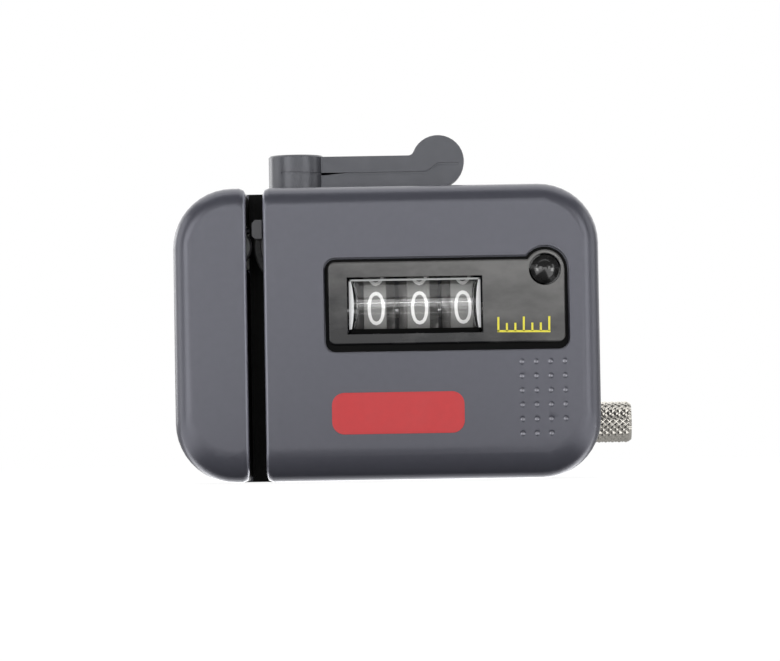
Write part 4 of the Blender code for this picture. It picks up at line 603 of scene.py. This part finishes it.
def break_edges(piece, width, angle=EDGE_ANGLE):
    """Rounds the piece's edges a little."""
    bevel = piece.modifiers.new("edge_break", "BEVEL")
    bevel.width = width
    bevel.segments = BEVEL_STEPS
    bevel.limit_method = "ANGLE"
    bevel.angle_limit = angle


def dress(node, material, edge=0.0, bm=None):
    """A finished copy of a CAD node, with its edges broken and its flat faces flat in shading."""
    piece = new_piece(node + "_finished", bm or merged_copy(node), material, body_of(node))
    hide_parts(node)
    if edge:
        break_edges(piece, edge)
    weight = piece.modifiers.new("flat_shading", "WEIGHTED_NORMAL")
    weight.mode = "FACE_AREA"
    weight.keep_sharp = True
    return piece


def split(bm, point, normal):
    """Cuts every face along a plane and keeps both sides."""
    everything = bm.verts[:] + bm.edges[:] + bm.faces[:]
    bmesh.ops.bisect_plane(bm, geom=everything, plane_co=point, plane_no=normal)


def extrude(bm, faces):
    """Extrudes faces in place, and returns the new vertices and the new faces."""
    made = bmesh.ops.extrude_face_region(bm, geom=faces)["geom"]
    return ([v for v in made if isinstance(v, bmesh.types.BMVert)],
            [f for f in made if isinstance(f, bmesh.types.BMFace)])


def add_bar(bm, size, turn, place):
    """Adds a box of this size, turned about Y, with its middle at the place."""
    bar = bmesh.ops.create_cube(bm, size=1.0)["verts"]
    bmesh.ops.scale(bm, verts=bar, vec=size)
    bmesh.ops.rotate(bm, verts=bar, cent=(0, 0, 0), matrix=Matrix.Rotation(turn, 3, "Y"))
    bmesh.ops.translate(bm, verts=bar, vec=place)


def cut(piece, tool):
    """Cuts the tool's shape from the piece's own mesh for good, and removes the tool."""
    others = list(piece.modifiers)
    shown = [m.show_viewport for m in others]
    for other in others:
        other.show_viewport = False
    modifier = piece.modifiers.new("cut", "BOOLEAN")
    modifier.operation = "DIFFERENCE"
    modifier.solver = "EXACT"
    modifier.object = tool
    graph = bpy.context.evaluated_depsgraph_get()
    made = bpy.data.meshes.new_from_object(piece.evaluated_get(graph))
    piece.modifiers.remove(modifier)
    piece.data = made
    for other, state in zip(others, shown):
        other.show_viewport = state
    bpy.data.objects.remove(tool)


def plain_pieces():
    """The pieces whose solids are right as they are, each with its finish and the width of its broken edges."""
    for material, edge, nodes in (
            (case_grey, 0, ("rear_cover",)),
            (case_grey, 0.15 * MM, ("clamp_base", "clamp_jaw")),
            (button_black, 0, ("reset_button",)),
            (steel_sheet, 0, ("counter_frame",)),
            (tyre_black, 0, ("wheel_tyre",)),
            (inner_grey, 0.08 * MM, ("line_guide",)),
            (inner_grey, 0, ("reset_bar",)),
            (roller_dark, 0, ("pressure_roller",)),
            (case_grey, 0, ("left_shell", "right_shell")),
            (pad_black, 0, ("fixed_pad", "jaw_pad")),
            (steel_turned, 0, ("clamp_screw", "screw_collar", "drum_axle", "pinion_axle",
                               "wheel_shaft", "roller_pin")),
            (acetal_black, 0, ("wheel_hub",)),
            (acetal_white, 0, ("worm_gear", "carry_pinion_hundreds", "carry_pinion_tens",
                               "lever_cam", "roller_slide")),
            (brass_turned, 0, ("shaft_bush", "worm"))):
        for node in nodes:
            dress(node, material, edge)


def coil_spring(node):
    """A coil spring in turned steel, with its own copy of the mesh."""
    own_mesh(dress(node, steel_turned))


def counter_panel():
    """The glossy panel: its raised face polished, the step round it dull and black, its gloss nearly gone as
    painted shade in the groove round the panel.
    """
    bm = merged_copy("bezel")
    for face in bm.faces:
        if face.calc_center_median().y >= panel_low.y + PANEL_FACE_DEPTH:
            face.material_index = 1
    piece = dress("bezel", panel_black, 0.2 * MM, bm=bm)
    piece.data.materials.append(step_black_shade)


def scale_mark():
    """A short yellow rule with ticks, printed on the panel."""
    left, base = photo_point(RULE_LEFT_PX, RULE_BASE_PX)
    right, _ = photo_point(RULE_RIGHT_PX, RULE_BASE_PX)
    bars = [((left + right) / 2, base, right - left, RULE_STROKE)]
    for k in range(RULE_TICKS):
        tall = RULE_TALL if k % 3 == 0 else RULE_SHORT
        x = left + RULE_STROKE / 2 + (right - left - RULE_STROKE) * k / (RULE_TICKS - 1)
        bars.append((x, base + tall / 2, RULE_STROKE, tall))
    bm = bmesh.new()
    for x, z, width, height in bars:
        add_bar(bm, (width, PRINT_THICKNESS, height), TILT, (x, panel_low.y, z))
    new_piece("scale_mark", bm, mark_yellow, body_of("bezel"))


def drum_measures(node):
    """A drum's centre, the middle of its widest ring along the axle, and its radius."""
    low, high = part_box(node)
    centre = (low + high) / 2
    radius = (high.z - low.z) / 2
    ring = [v.co.x for v in frame["nodes"][node].data.vertices
            if sqrt((v.co.y - centre.y) ** 2 + (v.co.z - centre.z) ** 2) > radius * RING_SHARE]
    return centre, (min(ring) + max(ring)) / 2, radius


def number_drums():
    """The drums with a lighter band, and the numbers 0 to 9 printed round each one."""
    for node in DRUMS:
        centre, band_x, radius = drum_measures(node)
        bm = merged_copy(node)
        for face in bm.faces:
            middle = face.calc_center_median()
            reach = sqrt((middle.y - centre.y) ** 2 + (middle.z - centre.z) ** 2)
            if abs(face.normal.x) < SIDEWAYS and reach > radius * BAND_SHARE:
                face.material_index = 1
        piece = dress(node, drum_dark, bm=bm)
        piece.data.materials.append(drum_band)
        for value in range(10):
            drum_number(node, value, band_x, centre, radius)


def drum_number(node, value, x, centre, radius):
    """One number, bent to the drum's rim."""
    bm = looped_number(value == 6) if value in (6, 9) else flat_text(str(value))
    width = NUMBER_WIDTH * (ONE_WIDTH_SHARE if value == 1 else 1.0)
    for k in range(1, NUMBER_BANDS):
        split(bm, (0, k / NUMBER_BANDS - 0.5, 0), (0, 1, 0))
    top, _ = extrude(bm, bm.faces[:])
    for vert in bm.verts:
        vert.co.z = -0.5
    for vert in top:
        vert.co.z = 0.5
    for vert in bm.verts:
        angle = -value * NUMBER_STEP - NUMBER_DROP + vert.co.y * NUMBER_HEIGHT / radius
        reach = radius + NUMBER_STROKE * vert.co.z
        vert.co = (x + NUMBER_SHIFT + vert.co.x * width,
                   centre.y - reach * cos(angle), centre.z + reach * sin(angle))
    bmesh.ops.recalc_face_normals(bm, faces=bm.faces)
    new_piece(f"{node}_number_{value}", bm, number_white, body_of(node))


def flat_text(body):
    """A text's outline as a mesh in the XY plane, its middle at the origin and one unit wide and high."""
    curve = bpy.data.curves.new("text", "FONT")
    curve.body = body
    curve.offset = -NUMBER_THINNING
    curve.resolution_u = 4
    text = bpy.data.objects.new("text", curve)
    bpy.context.scene.collection.objects.link(text)
    graph = bpy.context.evaluated_depsgraph_get()
    mesh = bpy.data.meshes.new_from_object(text.evaluated_get(graph))
    bpy.data.objects.remove(text)
    bm = bmesh.new()
    bm.from_mesh(mesh)
    bmesh.ops.remove_doubles(bm, verts=bm.verts, dist=TEXT_MERGE)
    low = [min(v.co[i] for v in bm.verts) for i in (0, 1)]
    high = [max(v.co[i] for v in bm.verts) for i in (0, 1)]
    for vert in bm.verts:
        for i in (0, 1):
            vert.co[i] = (vert.co[i] - (low[i] + high[i]) / 2) / (high[i] - low[i])
        vert.co.z = 0
    return bm


def looped_number(turned):
    """A nine with a rounded hook, or the same turned over for a six."""
    bm = flat_text("0")
    for level in (NINE_HOOK, NINE_LOOP_MIDDLE):
        split(bm, (0, level, 0), (0, 1, 0))
    split(bm, (0, 0, 0), (1, 0, 0))
    gap = []
    for face in bm.faces:
        place = face.calc_center_median()
        if place.x < 0 and NINE_HOOK < place.y < NINE_LOOP_MIDDLE:
            gap.append(face)
    bmesh.ops.delete(bm, geom=gap, context="FACES")
    loop = flat_text("0")
    bmesh.ops.scale(loop, verts=loop.verts, vec=(1, NINE_LOOP, 1))
    bmesh.ops.translate(loop, verts=loop.verts, vec=(0, (1 - NINE_LOOP) / 2, 0))
    mesh = bpy.data.meshes.new("loop")
    loop.to_mesh(mesh)
    loop.free()
    bm.from_mesh(mesh)
    bpy.data.meshes.remove(mesh)
    if turned:
        bmesh.ops.rotate(bm, verts=bm.verts, cent=(0, 0, 0), matrix=Matrix.Rotation(pi, 3, "Z"))
    return bm


def window_lens():
    """The clear window, with glowing frosted ends as painted light, a painted highlight along its top edge and
    painted shade along its bottom edge.
    """
    bm = merged_copy("lens")
    low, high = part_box("lens")
    middle = (low + high) / 2
    for level in (high.z - LENS_TOP_HIGHLIGHT, low.z + LENS_BOTTOM_SHADE):
        split(bm, (0, 0, level), (0, 0, 1))
    for vert in bm.verts:
        if vert.co.z < low.z + LENS_FOOT:
            vert.co.z -= LENS_SEAT
    for face in bm.faces:
        place = face.calc_center_median()
        outward = face.normal.x * (place.x - middle.x)
        to_end = (high.x - low.x) / 2 - abs(place.x - middle.x)
        # A painted highlight on the top edge's front, painted shade on the bottom edge
        if place.z > high.z - LENS_TOP_HIGHLIGHT and face.normal.y < 0:
            face.material_index = 2
        elif place.z < low.z + LENS_BOTTOM_SHADE:
            face.material_index = 3
        elif outward > 0 and abs(face.normal.x) > SIDEWAYS and to_end < LENS_END:
            face.material_index = 1
    piece = dress("lens", window_clear, bm=bm)
    for material in (window_end, window_top_highlight, step_black_shade):
        piece.data.materials.append(material)


def seam_tool(points, width):
    """A thin square bar along the points, to cut a parting line."""
    bm = bmesh.new()
    half = width / 2
    last = Vector(points[0])
    corners = [bm.verts.new(last + Vector(offset))
               for offset in ((0, -half, -half), (0, half, -half), (0, half, half), (0, -half, half))]
    start = end = bm.faces.new(corners)
    for point in points[1:]:
        moved, made = extrude(bm, [end])
        bmesh.ops.translate(bm, verts=moved, vec=Vector(point) - last)
        if end is not start:
            bmesh.ops.delete(bm, geom=[end], context="FACES_ONLY")
        end = made[0]
        last = Vector(point)
    bmesh.ops.recalc_face_normals(bm, faces=bm.faces)
    return mesh_object("seam_tool", bm)


def release_lever():
    """The lever, with the parting line of its two moulded halves along its front."""
    piece = dress("lever", lever_grey, 0.12 * MM)
    places = []
    for start, end in zip(LEVER_SEAM_PX, LEVER_SEAM_PX[1:]):
        steps = max(round((end[0] - start[0]) / LEVER_SEAM_STEP_PX), 1)
        for k in range(steps):
            pixel = [a + (b - a) * k / steps for a, b in zip(start, end)]
            places.append(photo_point(*pixel, depth=LEVER_DEPTH))
    places.append(photo_point(*LEVER_SEAM_PX[-1], depth=LEVER_DEPTH))
    depths = front_surface("lever", places)
    cut(piece, seam_tool([(x, y, z) for (x, z), y in zip(places, depths)], LEVER_SEAM_WIDTH))


def knurled_knob():
    """The knob with a diamond knurl cut in its barrel."""
    low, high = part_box("thumb_knob")
    collar_low, collar_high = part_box("screw_collar")
    axis_y = (low.y + high.y) / 2
    axis_z = (low.z + high.z) / 2
    radius = (high.z - low.z) / 2
    start = CASE_RIGHT
    end = high.x
    chamfer = radius / KNOB_CHAMFERS
    bore = (collar_high.z - collar_low.z) / 2 / COLLAR_TO_SCREW + KNOB_GAP
    neck = bore * KNOB_NECK
    socket = bore * KNOB_SOCKET
    socket_start = start + KNOB_SOCKET_START
    span = (end - start - 2 * chamfer) / KNURL_ROWS
    profile = [(bore, low.x), (neck, low.x), (neck, start), (radius - chamfer, start)]
    profile += [(radius, start + chamfer + span * k) for k in range(KNURL_ROWS + 1)]
    profile += [(radius - chamfer, end), (socket, end), (socket, socket_start), (bore, socket_start)]
    bm = bmesh.new()
    ring = [bm.verts.new((x, axis_y, axis_z + r)) for r, x in profile]
    for k, vert in enumerate(ring):
        bm.edges.new((vert, ring[(k + 1) % len(ring)]))
    count = KNURL_STARTS * KNURL_STEPS
    bmesh.ops.spin(bm, geom=bm.verts[:] + bm.edges[:], cent=(0, axis_y, axis_z), axis=(1, 0, 0),
                   angle=2 * pi, steps=count, use_merge=True)
    bmesh.ops.recalc_face_normals(bm, faces=bm.faces)
    pitch = 2 * pi / count
    for vert in bm.verts:
        dy, dz = vert.co.y - axis_y, vert.co.z - axis_z
        reach = sqrt(dy * dy + dz * dz)
        if reach < radius - ON_BARREL or vert.co.x < start + chamfer - span / 4:
            continue
        u = atan2(dy, dz) / pitch / KNURL_STEPS
        v = (vert.co.x - start - chamfer) / span / KNURL_STEPS
        grooves = [abs(s - round(s)) * 2 for s in (u + v, u - v)]
        depth = KNURL_DEPTH * (1 - min(grooves))
        vert.co.y = axis_y + dy * (reach - depth) / reach
        vert.co.z = axis_z + dz * (reach - depth) / reach
    piece = new_piece("thumb_knob_knurled", bm, nickel_plate, body_of("thumb_knob"), KNURL_ANGLE)
    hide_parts("thumb_knob")


def recessed_screws():
    """The small screws with a cross recess in each head."""
    for node in RECESSED_SCREWS:
        piece = dress(node, steel_turned)
        low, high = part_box(node)
        middle = (low + high) / 2
        for turn in (0, radians(90)):
            bm = bmesh.new()
            add_bar(bm, (RECESS_LENGTH, RECESS_DEPTH * 2, RECESS_WIDTH), turn, (middle.x, high.y, middle.z))
            cut(piece, mesh_object("recess", bm))


def badge_plate():
    """A plain red plate with rounded ends, set on the front below the window."""
    centre_x = (BADGE_CENTRE_PX[0] - CASE_CENTRE_X_PX) / PIXELS_PER_MM * MM
    centre_z = CASE_CENTRE_Z + (CASE_CENTRE_Y_PX - BADGE_CENTRE_PX[1]) / PIXELS_PER_MM * MM
    bm = bmesh.new()
    bmesh.ops.create_grid(bm, x_segments=1, y_segments=1, size=0.5)
    bmesh.ops.scale(bm, verts=bm.verts, vec=(BADGE_WIDTH, BADGE_HEIGHT, 1))
    bmesh.ops.bevel(bm, geom=bm.verts[:], offset=BADGE_CORNER, segments=BADGE_CORNER_STEPS, profile=0.5,
                    affect="VERTICES", material=-1)
    top, _ = extrude(bm, bm.faces[:])
    bmesh.ops.translate(bm, verts=top, vec=(0, 0, BADGE_THICKNESS))
    bmesh.ops.rotate(bm, verts=bm.verts, cent=(0, 0, 0), matrix=Matrix.Rotation(radians(90), 3, "X"))
    bmesh.ops.translate(bm, verts=bm.verts, vec=(centre_x, FRONT + BADGE_THICKNESS / 4, centre_z))
    bmesh.ops.recalc_face_normals(bm, faces=bm.faces)
    piece = new_piece("badge_plate", bm, badge_red, "case")
    break_edges(piece, BADGE_THICKNESS / 3, BADGE_EDGE_ANGLE)


def add_card(name, place, size, level, shown=True, only=None, aim=MIDDLE):
    """A rectangular lamp that faces the object with this even brightness.

    Reflections may leave it out, and it may light only one piece.
    """
    data = bpy.data.lights.new(name, "AREA")
    data.shape = "RECTANGLE"
    data.size, data.size_y = size
    data.energy = level * pi * size[0] * size[1]
    card = bpy.data.objects.new(name, data)
    card.location = place
    card.rotation_euler = (Vector(aim) - Vector(place)).to_track_quat("-Z", "Y").to_euler()
    card.visible_camera = False
    card.visible_glossy = shown
    bpy.context.scene.collection.objects.link(card)
    if only:
        lit = bpy.data.collections.new(name + "_lights")
        lit.objects.link(only)
        card.light_linking.receiver_collection = lit


def add_world():
    """A dim grey room that shows white to the camera."""
    world = bpy.data.worlds.new("studio")
    world.use_nodes = True
    nodes = world.node_tree.nodes
    links = world.node_tree.links
    path = nodes.new("ShaderNodeLightPath")
    room = nodes["Background"]
    white = nodes.new("ShaderNodeBackground")
    for background, strength in ((room, ROOM_LEVEL), (white, 1.0)):
        background.inputs["Color"].default_value = (1, 1, 1, 1)
        background.inputs["Strength"].default_value = strength
    mixed = nodes.new("ShaderNodeMixShader")
    links.new(path.outputs["Is Camera Ray"], mixed.inputs["Fac"])
    links.new(room.outputs[0], mixed.inputs[1])
    links.new(white.outputs[0], mixed.inputs[2])
    links.new(mixed.outputs[0], nodes["World Output"].inputs["Surface"])
    bpy.context.scene.world = world


def floor_finish():
    """A grey floor that glows: white to the camera, with a faint shadow round the object.

    Gloss sees the glow beside the case and from just behind its front, brightest under the case.
    """
    finish = Finish("floor_white", (FLOOR_GREY, FLOOR_GREY, FLOOR_GREY), 0.6)
    path = finish.nodes.new("ShaderNodeLightPath")
    camera_ray, gloss_ray = path.outputs["Is Camera Ray"], path.outputs["Is Glossy Ray"]
    place = finish.axes(finish.position)
    sideways = finish.maths("ABSOLUTE", place["X"])
    beside = finish.ramp(sideways, SIDE_GLOW_START, SIDE_GLOW_FULL, 0, SIDE_GLOW)
    behind = finish.ramp(place["Y"], GLOW_START, GLOW_FULL, 0, 1)
    distance = finish.nodes.new("ShaderNodeVectorMath")
    distance.operation = "LENGTH"
    finish.links.new(finish.position, distance.inputs[0])
    away = distance.outputs["Value"]
    white_share = finish.ramp(away, SHADOW_NEAR, SHADOW_FAR, WHITE_SHARE_NEAR, 1)
    white_level = finish.ramp(away, SHADOW_NEAR, SHADOW_FAR, WHITE_NEAR, WHITE_FAR)
    gloss_level = finish.ramp(place["Y"], UNDER_GLOW_END, BACK_GLOW_START, UNDER_GLOW, BACK_GLOW)
    to_camera = finish.product([camera_ray, white_share])
    to_gloss = finish.product([finish.maths("MAXIMUM", behind, beside), gloss_ray])
    seen = finish.maths("MAXIMUM", to_camera, to_gloss)
    strength = finish.nodes.new("ShaderNodeMix")
    for value, entry in ((gloss_ray, 0), (white_level, 2), (gloss_level, 3)):
        finish.links.new(value, strength.inputs[entry])
    glow = finish.nodes.new("ShaderNodeEmission")
    glow.inputs["Color"].default_value = (1, 1, 1, 1)
    finish.links.new(strength.outputs[0], glow.inputs["Strength"])
    finish.blend_shader(finish.ramp(seen, 0, 1, 0.0, GLOW_SHARE), glow.outputs["Emission"])
    return finish.material


def add_floor():
    """A wide floor under the object, which isn't part of the model."""
    bm = bmesh.new()
    bmesh.ops.create_grid(bm, x_segments=1, y_segments=1, size=FLOOR_SIZE)
    floor = mesh_object("floor", bm)
    floor.data.materials.append(floor_finish())


remove_scene_extras()
add_camera()

plain_pieces()
coil_spring("button_spring")
coil_spring("pressure_spring")
counter_panel()
scale_mark()
number_drums()
window_lens()
release_lever()
knurled_knob()
recessed_screws()
badge_plate()

add_world()
add_floor()
for card in CARDS:
    add_card(*card)
add_card(*FILL_CARD, shown=False)
button = bpy.data.objects["reset_button_finished"]
for card in BUTTON_CARDS:
    add_card(*card, only=button, aim=BUTTON)

bpy.context.scene.view_settings.view_transform = "Standard"
